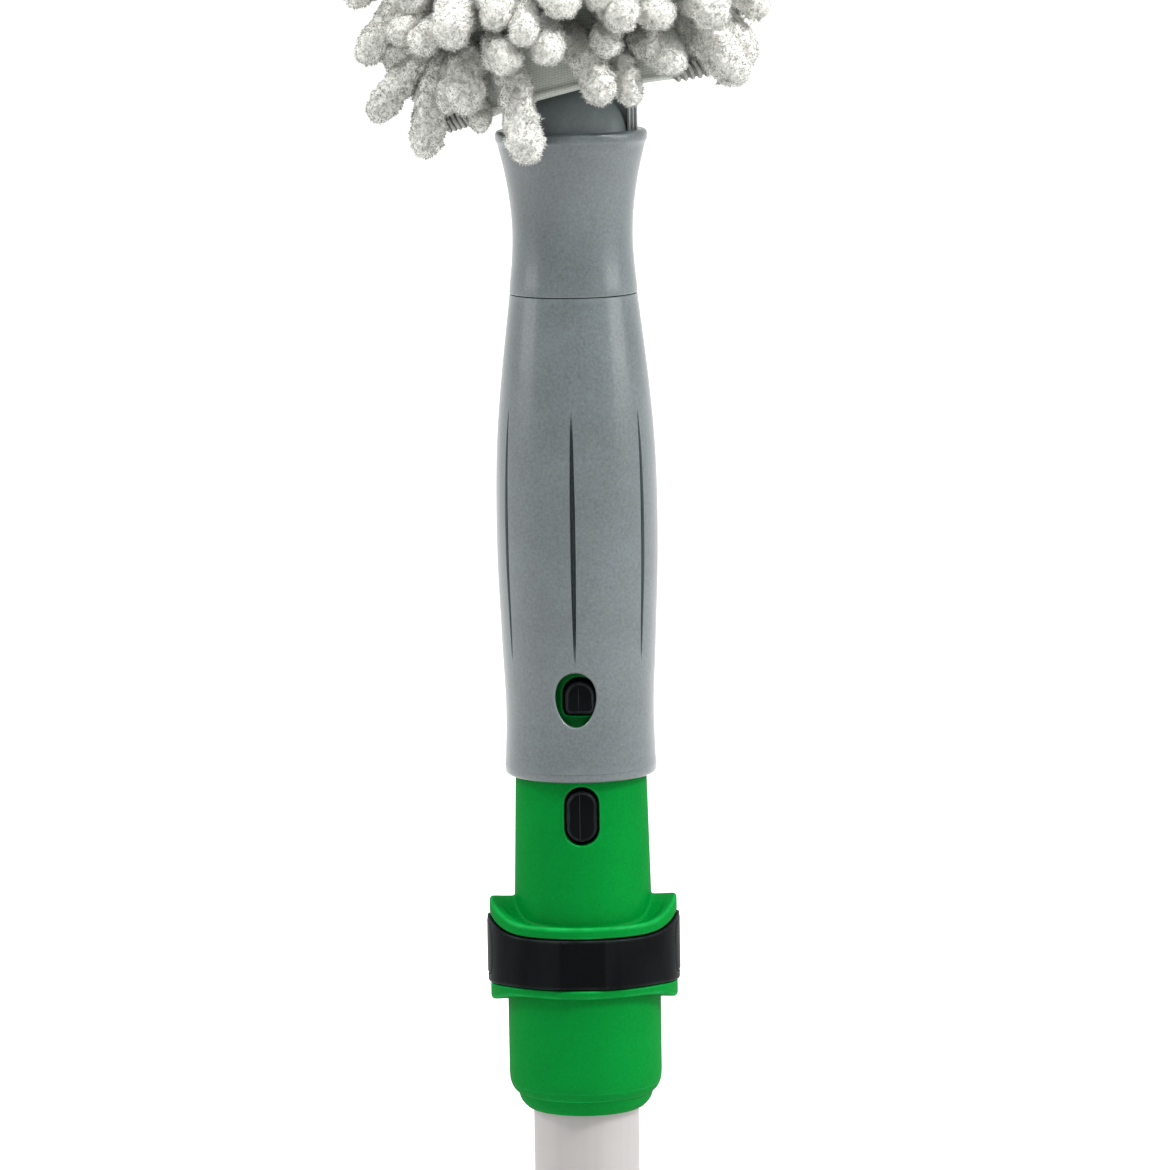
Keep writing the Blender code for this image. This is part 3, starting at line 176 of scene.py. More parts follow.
LIP = 0.255
POLE_RADIUS = 0.0110
POLE_BORE = 0.0095
POLE_ENDS = (0.0043, 0.2990)
POLE_EDGE = 0.0003
CRISP, BROKEN, SOFTENED = 0.0002, 0.0003, 0.0005
POLE_COLUMNS = 96
SNAP_HEIGHT = 0.03435
SNAP_HOLE = 0.0023
SNAP_PATCH = 0.004
ROW_STEP = 0.0010
SUPPORT = 0.00015
# Rounding against which the edge mask for wear and painted highlights is measured
WEAR_AND_GLINT_ROUND = 0.0016
ALUMINIUM = (0.375, 0.357, 0.350, 1)


def round_angles(columns):
    """Equal steps of angle once round, from the back, so that the front falls in the middle."""
    return math.pi / 2 + math.tau * np.arange(columns) / columns


def rounded_section(corners, columns, closed=True, steps=4):
    """Rows of (radius, height) for a section whose corners are worn round. A corner is (radius, height, cut),
    each a number or one number for each column. It becomes a parabola from cut before it to cut after it:
    (1-t)^2 start + 2t(1-t) corner + t^2 end. A long side between level ends gets rows at whole millimetres of
    height, and every long side one close to each end, so that it shades flat."""
    table = [np.stack([np.broadcast_to(value, columns) for value in corner], -1) for corner in corners]
    table = np.stack(table).astype(float)
    place, cut = table[..., :2], table[..., 2:].copy()
    if not closed:
        cut[[0, -1]] = 0
    ends = []
    for step in (1, -1):
        side = np.roll(place, step, 0) - place
        length = np.maximum(np.linalg.norm(side, axis=-1, keepdims=True), 1e-9)
        ends.append(place + side * np.minimum(cut / length, 0.48))
    t = np.linspace(0, 1, steps + 1)[None, :, None, None]
    curve = (1 - t) ** 2 * ends[0][:, None] + 2 * t * (1 - t) * place[:, None] + t**2 * ends[1][:, None]
    rows = curve.reshape(-1, columns, 2)
    rows = rows[np.append(True, np.abs(np.diff(rows, axis=0)).max((1, 2)) > 1e-7)]
    following = np.roll(rows, -1, 0) if closed else np.append(rows[1:], rows[-1:], 0)
    made = []
    for here, there in zip(rows, following):
        made.append(here[None])
        span = np.linalg.norm(there - here, axis=-1).max()
        if span < 4 * ROW_STEP:
            continue
        low, high = here[:, 1], there[:, 1]
        if np.ptp(low) < 1e-9 and np.ptp(high) < 1e-9 and abs(high[0] - low[0]) > 4 * ROW_STEP:
            first, last = sorted((low[0], high[0]))
            lowest, highest = math.ceil(first / ROW_STEP + 0.3), math.floor(last / ROW_STEP - 0.3)
            marks = np.arange(lowest, highest + 1) * ROW_STEP
            shares = np.sort((marks - low[0]) / (high[0] - low[0]))
        else:
            shares = np.linspace(0, 1, int(span / ROW_STEP / 2) + 1)[1:-1]
        shares = np.concatenate([[SUPPORT / span], shares, [1 - SUPPORT / span]])[:, None, None]
        made.append(here + (there - here) * shares)
    return np.concatenate(made)


def around_axis(rows, angles):
    """Points (radius cos a, radius sin a, height) for rows of (radius, height) and a column angle a."""
    angles = np.broadcast_to(angles, rows.shape[:2])
    return np.stack([rows[..., 0] * np.cos(angles), rows[..., 0] * np.sin(angles), rows[..., 1]], -1)


def grid_faces(rows, columns, around=True, along=False):
    """Corners of the quads of a grid: around joins the last column to the first, and along the last row to
    the first."""
    index = np.arange(rows * columns).reshape(rows, columns)
    if around:
        index = np.concatenate([index, index[:, :1]], 1)
    if along:
        index = np.concatenate([index, index[:1]], 0)
    return np.stack([index[:-1, :-1], index[:-1, 1:], index[1:, 1:], index[1:, :-1]], -1)


def mesh_from(name, points, faces):
    """A mesh from an (n, 3) array of points and a list of arrays of faces, each with one count of corners."""
    mesh = bpy.data.meshes.new(name)
    corners = np.concatenate([kind.ravel() for kind in faces]).astype(np.int32)
    sizes = np.concatenate([np.full(len(kind), kind.shape[1]) for kind in faces])
    mesh.vertices.add(len(points))
    mesh.vertices.foreach_set("co", points.astype(np.float32).ravel())
    mesh.loops.add(len(corners))
    mesh.loops.foreach_set("vertex_index", corners)
    mesh.polygons.add(len(sizes))
    mesh.polygons.foreach_set("loop_start", (np.cumsum(sizes) - sizes).astype(np.int32))
    mesh.update(calc_edges=True)
    mesh.validate()
    return mesh


def edge_wear_and_glint(mesh):
    """An attribute from 0 to 1 that is high on tight outward edges, where the moulded materials paint wear and
    a
    painted highlight: the mean over a point's edges of the bend -2 (way . normal) / length^2, against the bend
    of an edge rounded to the reference radius."""
    count = len(mesh.vertices)
    place, normal = np.empty((2, count, 3), np.float32)
    mesh.vertices.foreach_get("co", place.ravel())
    mesh.vertex_normals.foreach_get("vector", normal.ravel())
    ends = np.empty((len(mesh.edges), 2), np.int32)
    mesh.edges.foreach_get("vertices", ends.ravel())
    bend, edges = np.zeros(count), np.zeros(count)
    for here, there in (ends.T, ends.T[::-1]):
        way = (place[there] - place[here]).astype(float)
        length = np.maximum((way**2).sum(1), 1e-10)
        np.add.at(bend, here, -2 * (way * normal[here]).sum(1) / length)
        np.add.at(edges, here, 1)
    bend = bend / np.maximum(edges, 1) * WEAR_AND_GLINT_ROUND
    layer = mesh.attributes.new("worn_edge_and_glint", "FLOAT", "POINT")
    layer.data.foreach_set("value", np.clip(bend * 1.6 - 0.6, 0, 1).astype(np.float32))


def close_up(mesh, sharp=35):
    """Merges doubled points, drops empty faces and stray points, turns the faces outwards, and shades the
    mesh smooth up to a sharp angle."""
    work = bmesh.new()
    work.from_mesh(mesh)
    bmesh.ops.remove_doubles(work, verts=work.verts, dist=2e-6)
    bmesh.ops.dissolve_degenerate(work, edges=work.edges, dist=1e-7)
    loose = [point for point in work.verts if not point.link_faces]
    bmesh.ops.delete(work, geom=loose, context="VERTS")
    bmesh.ops.recalc_face_normals(work, faces=work.faces)
    work.to_mesh(mesh)
    work.free()
    mesh.shade_smooth()
    mesh.set_sharp_from_angle(angle=math.radians(sharp))
    edge_wear_and_glint(mesh)
    return mesh


def dress(mesh, body, slot, material, *stands_for):
    """Puts a finished mesh in the scene on its body, with its material, in place of the solids that it
    stands for."""
    piece = bpy.data.objects.new(mesh.name, mesh)
    bpy.context.scene.collection.objects.link(piece)
    if not mesh.materials:
        mesh.materials.append(material)
    if body:
        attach(piece, body)
    if stands_for:
        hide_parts(*stands_for)
    return piece


def round_outline(reach):
    """A circle's reach at each direction."""
    return lambda way: np.full_like(way, reach)


def pierce(rows, angles, holes, along):
    """Points and faces of a wall turned about Z, with holes through it. A hole is (outer rows, inner rows,
    columns, middle angle, middle height, outline, edge, radius): the two sets of rows are the wall's outside
    and inside, rising together, and radius(angle, height, inside) is the wall's surface. Between the rim of
    the cut patch and the outline, rings run straight in arc length and height; the edge turns in on a
    quarter circle, and the lining runs along the radius to the inside, where the same rings end at the
    inner rim."""
    angles = np.broadcast_to(angles, rows.shape[:2])
    points = [around_axis(rows, angles).reshape(-1, 3)]
    count, columns = rows.shape[:2]
    faces = grid_faces(count, columns, True, along)
    keep = np.ones(faces.shape[:2], bool)
    linings, start = [], count * columns
    for outer_rows, inner_rows, cut, middle_angle, middle_height, outline, edge, radius in holes:
        rings = []
        for side_rows, inside in ((outer_rows, 0), (inner_rows, 1)):
            keep[np.ix_(np.sort(side_rows)[:-1], cut[:-1])] = False
            low, high, last = side_rows[0], side_rows[-1], len(cut) - 1
            path = [(low, cut[k]) for k in range(last)] + [(row, cut[-1]) for row in side_rows[:-1]]
            path += [(high, cut[last - k]) for k in range(last)] + [(row, cut[0]) for row in side_rows[:0:-1]]
            r, c = np.array(path).T
            mean = rows[side_rows][:, cut, 0].mean()
            rim = np.stack([(angles[r, c] - middle_angle) * mean, rows[r, c, 1] - middle_height], -1)
            way = rim / np.linalg.norm(rim, axis=1, keepdims=True)
            reach = outline(np.arctan2(way[:, 1], way[:, 0]))[:, None]
            lip = way * (reach + edge)
            side = [(rim + (lip - rim) * mix, 0) for mix in (0, 0.25, 0.5, 0.72, 0.88)]
            for turn in np.radians((0, 22.5, 45, 67.5, 90)):
                side.append((way * (reach + edge * (1 - math.sin(turn))), edge * (1 - math.cos(turn))))
            placed = []
            for flat, depth in side:
                angle, height = middle_angle + flat[:, 0] / mean, middle_height + flat[:, 1]
                reach_out = radius(angle, height, inside) + (depth if inside else -depth)
                placed.append(np.stack([reach_out * np.cos(angle), reach_out * np.sin(angle), height], -1))
            placed[0] = points[0][r * columns + c]
            rings += placed[::-1] if inside else placed
        ring_grid = np.stack(rings)
        points.append(ring_grid.reshape(-1, 3))
        linings.append(grid_faces(*ring_grid.shape[:2]).reshape(-1, 4) + start)
        start += ring_grid.shape[0] * ring_grid.shape[1]
    return np.concatenate(points), [faces[keep]] + linings


def wall_rows(rows, low, high, outside):
    """The rows of a section between two heights on its outer or inner side, rising."""
    height, radius = rows[:, 0, 1], rows[:, 0, 0]
    middle = rows[(height > low) & (height < high), 0, 0].mean()
    found = np.flatnonzero((height > low) & (height < high) & ((radius > middle) == outside))
    return found[np.argsort(height[found])]


def near_columns(angles, middle, reach):
    """The columns within reach of a middle angle, in order."""
    return np.flatnonzero(np.abs(angles - middle) < reach)


def hole_in(rows, angles, middle, patch, outline, edge, radius):
    """One hole for pierce. Middle is its angle and its height, and patch is how far down, up and round from
    there the wall's own faces are taken away."""
    angle, height = middle
    down, up, reach = patch
    sides = [wall_rows(rows, height - down, height + up, outside) for outside in (True, False)]
    return *sides, near_columns(angles, angle, reach), angle, height, outline, edge, radius


def shader_group(name, takes, gives):
    """A node group with named sockets, of which those called a colour are colours and the rest numbers. Comes
    back with its input and output sockets and with its own math_node."""
    group = bpy.data.node_groups.new(name, "ShaderNodeTree")
    for side, labels in (("INPUT", takes), ("OUTPUT", gives)):
        for label in labels:
            kind = "NodeSocketColor" if "Colour" in label else "NodeSocketFloat"
            group.interface.new_socket(label, in_out=side, socket_type=kind)
    given = group.nodes.new("NodeGroupInput").outputs
    return group, given, group.nodes.new("NodeGroupOutput").inputs, partial(math_node, group)


def scaled_place(tree, place, scale):
    """Coordinates stretched by a scale along each axis."""
    return shader_node(tree, "ShaderNodeMapping", Vector=place, Scale=scale).outputs[0]


def noise(tree, place, scale, detail=2.0, roughness=0.5):
    """Smooth noise between 0 and 1."""
    sockets = {"Vector": place, "Scale": scale, "Detail": detail, "Roughness": roughness}
    return shader_node(tree, "ShaderNodeTexNoise", **sockets).outputs[0]


def spread(tree, value, low, high):
    """A value from 0 to 1 taken to the range from low to high."""
    return math_node(tree, "MULTIPLY_ADD", value, high - low, low)


def tinted(tree, colour, strength):
    """A colour times a number near 1."""
    grey = shader_node(tree, "ShaderNodeCombineColor", Red=strength, Green=strength, Blue=strength).outputs[0]
    settings = {"data_type": "RGBA", "blend_type": "MULTIPLY"}
    mixer = shader_node(tree, "ShaderNodeMix", settings, i0=1.0, i6=colour, i7=grey)
    return mixer.outputs[2]


# Draw lines: noise stretched a hundred times along Z, a broad one for colour and a fine one for depth
drawn, given, made, calc = shader_group(
    "draw_lines", ("Colour", "Roughness"), ("Colour", "Roughness", "Height")
)
place = shader_node(drawn, "ShaderNodeTexCoord").outputs["Object"]
fine = noise(drawn, scaled_place(drawn, place, (3200, 3200, 28)), 1.0, 3.0, 0.6)
broad = noise(drawn, scaled_place(drawn, place, (420, 420, 5)), 1.0, 2.0)
blotch = noise(drawn, place, 60.0, 3.0)
tone = spread(drawn, calc("ADD", broad, blotch), 0.90, 1.0)
drawn.links.new(tinted(drawn, given["Colour"], tone), made["Colour"])
rub = calc("ADD", spread(drawn, fine, -0.06, 0.06), spread(drawn, blotch, -0.06, 0.06))
drawn.links.new(calc("ADD", given["Roughness"], rub), made["Roughness"])
drawn.links.new(fine, made["Height"])


def group_material(name, group, colour, roughness, depth, group_values=None, **uniform):
    """A Principled material whose colour and bump come from a group, and its roughness where the group gives
    one. Depth is the bump's height, and what is the same all over goes on the shader's own sockets."""
    material = bpy.data.materials.new(name)
    material.use_nodes = True
    tree = material.node_tree
    shader = tree.nodes["Principled BSDF"]
    shader.inputs["Roughness"].default_value = roughness
    skin = shader_node(tree, "ShaderNodeGroup", {"node_tree": group})
    skin.inputs["Colour"].default_value = colour
    tree.links.new(skin.outputs["Colour"], shader.inputs["Base Color"])
    if "Roughness" in skin.outputs:
        skin.inputs["Roughness"].default_value = roughness
        tree.links.new(skin.outputs["Roughness"], shader.inputs["Roughness"])
    for key, value in (group_values or {}).items():
        skin.inputs[key].default_value = value
    bump = shader_node(tree, "ShaderNodeBump", Strength=1.0, Distance=depth, Height=skin.outputs["Height"])
    tree.links.new(bump.outputs[0], shader.inputs["Normal"])
    for key, value in uniform.items():
        shader.inputs[key.replace("_", " ")].default_value = value
    return material


satin_aluminium = group_material(
    "satin_aluminium", drawn, ALUMINIUM, roughness=0.58, depth=0.000006, Metallic=0.1
)
low, high = POLE_ENDS
pole_angles = round_angles(POLE_COLUMNS)
pole_section = [
    (POLE_RADIUS, low, POLE_EDGE),
    (POLE_RADIUS, high, POLE_EDGE),
    (POLE_BORE, high, POLE_EDGE),
    (POLE_BORE, low, POLE_EDGE),
]
pole_rows = rounded_section(pole_section, POLE_COLUMNS)
snap_middle = LIP + SNAP_HEIGHT
pole_holes = []
for middle in (math.pi, math.tau):
    pole_holes.append(hole_in(
        pole_rows, pole_angles, (middle, snap_middle),
        (SNAP_PATCH, SNAP_PATCH, SNAP_PATCH / POLE_RADIUS), round_outline(SNAP_HOLE), POLE_EDGE / 2,
        lambda angle, height, inside: np.full_like(angle, POLE_BORE if inside else POLE_RADIUS),
    ))
points, faces = pierce(pole_rows, pole_angles, pole_holes, True)
pole_skin = close_up(mesh_from("pole_tube_skin", points, faces))
dress(pole_skin, "pole", "satin_aluminium", satin_aluminium, "pole_tube")

# End cap
# Black rubber cup on the foot of the pole, moulded in one with three grip grooves round it.
# It is pushed on over the tube, which stands on its floor.

CAP_RADIUS = 0.0135
CAP_BORE = 0.0113
CAP_FLOOR = 0.0040
CAP_TOP = 0.0250
CAP_GROOVES = (0.0090, 0.0122, 0.0154)
GROOVE_HALF = 0.0006
CAP_GROOVE_DEPTH = 0.0005
CAP_FOOT_ROUND, CAP_TOP_ROUND = 0.0010, 0.0006
CAP_COLUMNS = 72
RUBBER, RUBBER_EDGE = (0.016, 0.016, 0.017, 1), (0.030, 0.030, 0.031, 1)

# Moulded grain: a fine noise for depth and gloss, a broad one that lets the colour drift a little, a paler
# colour along tight edges for wear and a painted highlight, and painted shade that darkens a stretch above a
# height
grain_numbers = ("Grain Scale", "Drift", "Edge Colour", "Dull Above", "Painted Shade Share")
grained, given, made, calc = shader_group(
    "moulded_grain", ("Colour", "Roughness", *grain_numbers), ("Colour", "Roughness", "Height")
)
place = shader_node(grained, "ShaderNodeTexCoord").outputs["Object"]
fine = noise(grained, place, given["Grain Scale"], 3.0, 0.6)
broad = noise(grained, place, 85.0, 3.0, 0.5)
smudge = noise(grained, scaled_place(grained, place, (1, 1, 0.35)), 170.0, 4.0, 0.6)
mottle = calc("MULTIPLY_ADD", fine, 2.0, broad)
away = calc("MULTIPLY", calc("SUBTRACT", mottle, 1.5), given["Drift"])
rise = shader_node(grained, "ShaderNodeSeparateXYZ", Vector=place).outputs[2]
# Painted shade: above a height the colour is darkened by a share
painted_shade = calc("MULTIPLY", calc("GREATER_THAN", rise, given["Dull Above"]), given["Painted Shade Share"])
tone = calc("MULTIPLY", calc("ADD", away, 1.0), calc("SUBTRACT", 1.0, painted_shade))
# Tight outward edges go towards the edge colour: partly real wear, partly a painted highlight along them
worn_and_glint = shader_node(grained, "ShaderNodeAttribute", {"attribute_name": "worn_edge_and_glint"}).outputs["Fac"]
rubbed_and_glint = calc("MULTIPLY", worn_and_glint, spread(grained, smudge, -0.7, 1.9))
rubbed_and_glint = calc("MINIMUM", calc("MAXIMUM", rubbed_and_glint, 0.0), 1.0)
edge_mix = shader_node(
    grained, "ShaderNodeMix", {"data_type": "RGBA"},
    i0=rubbed_and_glint, i6=tinted(grained, given["Colour"], tone), i7=given["Edge Colour"],
)
grained.links.new(edge_mix.outputs[2], made["Colour"])
rub = calc("ADD", spread(grained, smudge, -0.12, 0.12), spread(grained, fine, -0.05, 0.05))
grained.links.new(calc("ADD", given["Roughness"], rub), made["Roughness"])
grained.links.new(fine, made["Height"])


def moulded(name, colour, edge_colour, roughness, depth, scale, drift, painted_shade=(9.0, 0.0), **uniform):
    """A moulded plastic or rubber: grain of a scale and drift, paler tight edges for wear and a painted
    highlight, and painted shade above a height by a share."""
    values = dict(zip(grain_numbers, (scale, drift, edge_colour, *painted_shade)))
    return group_material(name, grained, colour, roughness, depth, values, **uniform)


def turned(rows, along=False):
    """Points and faces of rows of (radius, height) turned once round, closed along if the last row meets the
    first."""
    count, columns = rows.shape[:2]
    faces = grid_faces(count, columns, True, along)
    return around_axis(rows, round_angles(columns)).reshape(-1, 3), [faces.reshape(-1, 4)]


cap_rubber = moulded(
    "cap_rubber", RUBBER, RUBBER_EDGE, roughness=0.72, depth=0.00004, scale=1500, drift=0.5
)
cap_section = [(0, 0, 0), (CAP_RADIUS, 0, CAP_FOOT_ROUND)]
for middle in CAP_GROOVES:
    bottom = CAP_RADIUS - CAP_GROOVE_DEPTH
    cap_section += [(CAP_RADIUS, middle - GROOVE_HALF, CRISP), (bottom, middle - GROOVE_HALF, BROKEN)]
    cap_section += [(bottom, middle + GROOVE_HALF, BROKEN), (CAP_RADIUS, middle + GROOVE_HALF, CRISP)]
cap_section += [(CAP_RADIUS, CAP_TOP, CAP_TOP_ROUND), (CAP_BORE, CAP_TOP, BROKEN)]
cap_section += [(CAP_BORE, CAP_FLOOR, BROKEN), (0, CAP_FLOOR, 0)]
cap_rows = rounded_section(cap_section, CAP_COLUMNS, closed=False)
cap_skin = close_up(mesh_from("end_cap_skin", *turned(cap_rows)))
dress(cap_skin, "pole", "cap_rubber", cap_rubber, "end_cap")

# Locking cone
# Green moulded cone that plugs the handle onto the pole: a lip, a smooth collar, two saddle-shaped flanges
# for the clip, and a hollow taper with two slots for the lock buttons. It is pushed over the tube.

CONE_COLUMNS = 144
BORE = 0.0113
LIP_FOOT, LIP_BULGE, LIP_TOP, LIP_RISE = 0.0122, (0.0136, 0.0014), 0.0142, 0.0034
LIP_FOOT_ROUND, BULGE_ROUND = 0.0006, 0.0012
LEDGE = 0.0004
COLLAR, COLLAR_FOOT = 0.01595, ((0.01530, 0.0043, 0.0010), (0.01593, 0.0060, 0.0020))
LOWER_FLANGE, UPPER_FLANGE = (0.0270, 0.0288), (0.0397, 0.0420)
LOWER_DROP, UPPER_LIFT = (0.00365, 0.0018), (0.0018, 0.0029)
FRONT_DROP, EAR_DROP = 0.0014, 0.0004
CLIP_GROOVE, GROOVE_MARKS = 0.0151, (0.0294, 0.0380)
FLANGE_WIDTH, FLANGE_DEPTH = 0.0195, 0.0172
FLANGE_EDGE = 0.0009
RIM_BAND, RIM_DISH, DISH_ROUND = 0.0015, 0.0007, 0.0004
EAR_SHARPNESS = 10
CONE_FOOT, CONE_TIP, CONE_TOP = 0.0143, 0.01235, 0.1220
FOOT_LEVEL, FOOT_FILLET, TIP_ROUND = 0.0036, 0.0007, 0.0015
CHAMBER, CHAMBER_FOOT, CHAMBER_ROOF = 0.0102, 0.0443, 0.1180
SLOT_HALF_WIDTH, FOOT_SHARPNESS = 0.0037, 6
LOWER_SLOT = (0.0634, 0.00245)
UPPER_SLOT = (0.0883, 0.0004, 0.0039)
SLOT_EDGE = 0.00025
LOWER_PATCH, UPPER_PATCH, PATCH_HALF_WIDTH = (0.0078, 0.0078), (0.0058, 0.0066), 0.0056
CONE_SNAP_PATCH, CONE_SNAP_ROOM = (0.0034, 0.0042), 0.0001
# GREEN_EDGE goes on tight edges, for wear and as a painted highlight
GREEN, GREEN_EDGE = (0.0004, 0.184, 0.024, 1), (0.008, 0.300, 0.060, 1)
# Painted shade: the green is darker by this share above this height, inside the handle and its window
PAINTED_SHADE_RISE, PAINTED_SHADE_SHARE = 0.0728, 0.50


def ears(angles):
    """How far round to the sides each angle lies: |cos a|^10, so 0 in front and 1 at the ears."""
    return np.abs(np.cos(angles)) ** EAR_SHARPNESS


def oval(angles, half_width, half_depth):
    """Radius of an ellipse at each angle: one over the length of (cos a / width, sin a / depth)."""
    return 1 / np.hypot(np.cos(angles) / half_width, np.sin(angles) / half_depth)


def cone_radius(height):
    """The taper's radius at a height above the lip, straight from its foot on the upper flange to its tip."""
    return CONE_FOOT + (CONE_TIP - CONE_FOOT) * (height - UPPER_FLANGE[1]) / (CONE_TOP - UPPER_FLANGE[1])


def slot_outline(half_width, rise, foot=None):
    """A slot's reach at each direction: half_width / |cos a| along its sides, and past them to a half circle
    whose middle lies a rise away. A given foot makes it a rounded box below,
    (|cos a / w|^n + |sin a / f|^n)^(-1/n)."""

    def reach(way):
        up, side = np.abs(np.sin(way)), np.maximum(np.abs(np.cos(way)), 1e-9)
        past = rise * up + np.sqrt(np.maximum(half_width**2 - (rise * side) ** 2, 0))
        found = np.where(half_width * up <= rise * side, half_width / side, past)
        if foot:
            total = (side / half_width) ** FOOT_SHARPNESS + (up / foot) ** FOOT_SHARPNESS
            found = np.where(np.sin(way) < 0, total ** (-1 / FOOT_SHARPNESS), found)
        return found

    return reach


green_plastic = moulded(
    "green_plastic", GREEN, GREEN_EDGE, roughness=0.40, depth=0.000012, scale=1700, drift=0.26,
    painted_shade=(LIP + PAINTED_SHADE_RISE, PAINTED_SHADE_SHARE), Specular_IOR_Level=0.0, Coat_Weight=0.07, Coat_Roughness=0.30,
)
cone_angles = round_angles(CONE_COLUMNS)
ear = ears(cone_angles)
flange = oval(cone_angles, FLANGE_WIDTH, FLANGE_DEPTH)
drop = FRONT_DROP + (EAR_DROP - FRONT_DROP) * ear
lower_base, lower_top = [LOWER_FLANGE[k] - LOWER_DROP[k] * ear - drop for k in (0, 1)]
upper_base, upper_top = [UPPER_FLANGE[k] + UPPER_LIFT[k] * ear - drop for k in (0, 1)]
dish = upper_top - RIM_DISH * (1 - ear)
level = UPPER_FLANGE[1] + FOOT_LEVEL
cone_section = [
    (0, CHAMBER_ROOF, 0),
    (CHAMBER, CHAMBER_ROOF, SOFTENED),
    (CHAMBER, CHAMBER_FOOT, CRISP),
    (BORE, CHAMBER_FOOT, CRISP),
    (BORE, 0, BROKEN),
    (LIP_FOOT, 0, LIP_FOOT_ROUND),
    (*LIP_BULGE, BULGE_ROUND),
    (LIP_TOP, LIP_RISE, BROKEN),
    (LIP_TOP + LEDGE, LIP_RISE + LEDGE / 3, CRISP),
    *COLLAR_FOOT,
    (COLLAR, lower_base, BROKEN),
    (flange, lower_base, FLANGE_EDGE),
    (flange, lower_top, FLANGE_EDGE / 2),
    (CLIP_GROOVE, lower_top, CRISP),
    *[(CLIP_GROOVE, height, 0) for height in GROOVE_MARKS],
    (CLIP_GROOVE, upper_base, CRISP),
    (flange, upper_base, FLANGE_EDGE / 2),
    (flange, upper_top, FLANGE_EDGE),
    (flange - RIM_BAND, upper_top, SOFTENED),
    (flange - RIM_BAND - RIM_DISH, dish, DISH_ROUND),
    (cone_radius(dish), dish, FOOT_FILLET),
    (cone_radius(level), level, 0),
    (CONE_TIP, CONE_TOP, TIP_ROUND),
    (0, CONE_TOP, 0),
]
cone_rows = rounded_section(cone_section, CONE_COLUMNS, closed=False)
cone_rows[..., 1] += LIP
front = math.pi * 3 / 2
cone_holes = []
for (middle, *shape), patch in ((LOWER_SLOT, LOWER_PATCH), (UPPER_SLOT, UPPER_PATCH)):
    cone_holes.append(hole_in(
        cone_rows, cone_angles, (front, LIP + middle), (*patch, PATCH_HALF_WIDTH / CONE_FOOT),
        slot_outline(SLOT_HALF_WIDTH, *shape), SLOT_EDGE,
        lambda angle, height, inside: np.full_like(angle, CHAMBER) if inside else cone_radius(height - LIP),
    ))
for middle in (math.pi, math.tau):
    down, reach = CONE_SNAP_PATCH
    cone_holes.append(hole_in(
        cone_rows, cone_angles, (middle, snap_middle), (down, down, reach / CLIP_GROOVE),
        round_outline(SNAP_HOLE + CONE_SNAP_ROOM), POLE_EDGE / 2,
        lambda angle, height, inside: np.full_like(angle, BORE if inside else CLIP_GROOVE),
    ))
points, faces = pierce(cone_rows, cone_angles, cone_holes, False)
cone_skin = close_up(mesh_from("locking_cone_skin", points, faces))
dress(cone_skin, "pole", "green_plastic", green_plastic, "locking_cone")

# Snap buttons, their leaf spring, and what sits in the hollow cone
# Bright spring steel for the buttons, leaf, coil and pins, and a dark moulded carrier.
# They are small and mostly hidden, so their own solids stay.

STEEL = (0.56, 0.56, 0.55, 1)
CORE_GRAY, CORE_EDGE = (0.185, 0.215, 0.219, 1), (0.220, 0.250, 0.255, 1)
HINGES = 6

spring_steel = group_material("spring_steel", drawn, STEEL, roughness=0.30, depth=0.000002, Metallic=1.0)
core_plastic = moulded(
    "core_plastic", CORE_GRAY, CORE_EDGE, roughness=0.58, depth=0.00003, scale=1900, drift=0.25
)


def finish_nodes(material, *names):
    """Gives solids that stay in view their material."""
    for name in names:
        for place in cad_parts[name].material_slots:
            place.material = material


steel_parts = ["snap_button_left", "snap_button_right", "snap_spring", "lever_pin", "lever_spring"]
steel_parts += [f"hinge_pin_{k}" for k in range(1, HINGES + 1)]
finish_nodes(spring_steel, *steel_parts)
finish_nodes(core_plastic, "lever_carrier")

# Lock lever
# One black moulding: an arm on a pivot boss, a long lower button and a round-topped upper button.
# A faint parting line runs down each button, and their front edges are broken by a small chamfer.

BUTTON_COLUMNS = 96
LEVER_FRONT, LEVER_BACK = 0.009389, 0.006889
LEVER_HALF_WIDTH = 0.0025
LEVER_TOP = 0.0945
PIVOT_RISE = 0.0500
BOSS = 0.0021
LOWER_BUTTON = (0.0634, 0.00315, 0.00545)
UPPER_BUTTON = (0.0848, 0.0031, 0.0069)
LOWER_PROUD, UPPER_PROUD = 0.0007, 0.0017
LOWER_CROWN, UPPER_CROWN = 0.0005, 0.0004
BUTTON_ROOT = 0.0006
CHAMFER, CHAMFER_MARGIN = 0.0007, 0.0004
BEAD, BEAD_ROOT = (0.00009, 0.00007), 0.0002
LOWER_BEAD, UPPER_BEAD = -0.0004, -0.0003
# BLACK_EDGE goes on chamfers and tight edges: partly wear, partly painted glints
BLACK, BLACK_EDGE = (0.0022, 0.0026, 0.0030, 1), (0.021, 0.026, 0.027, 1)


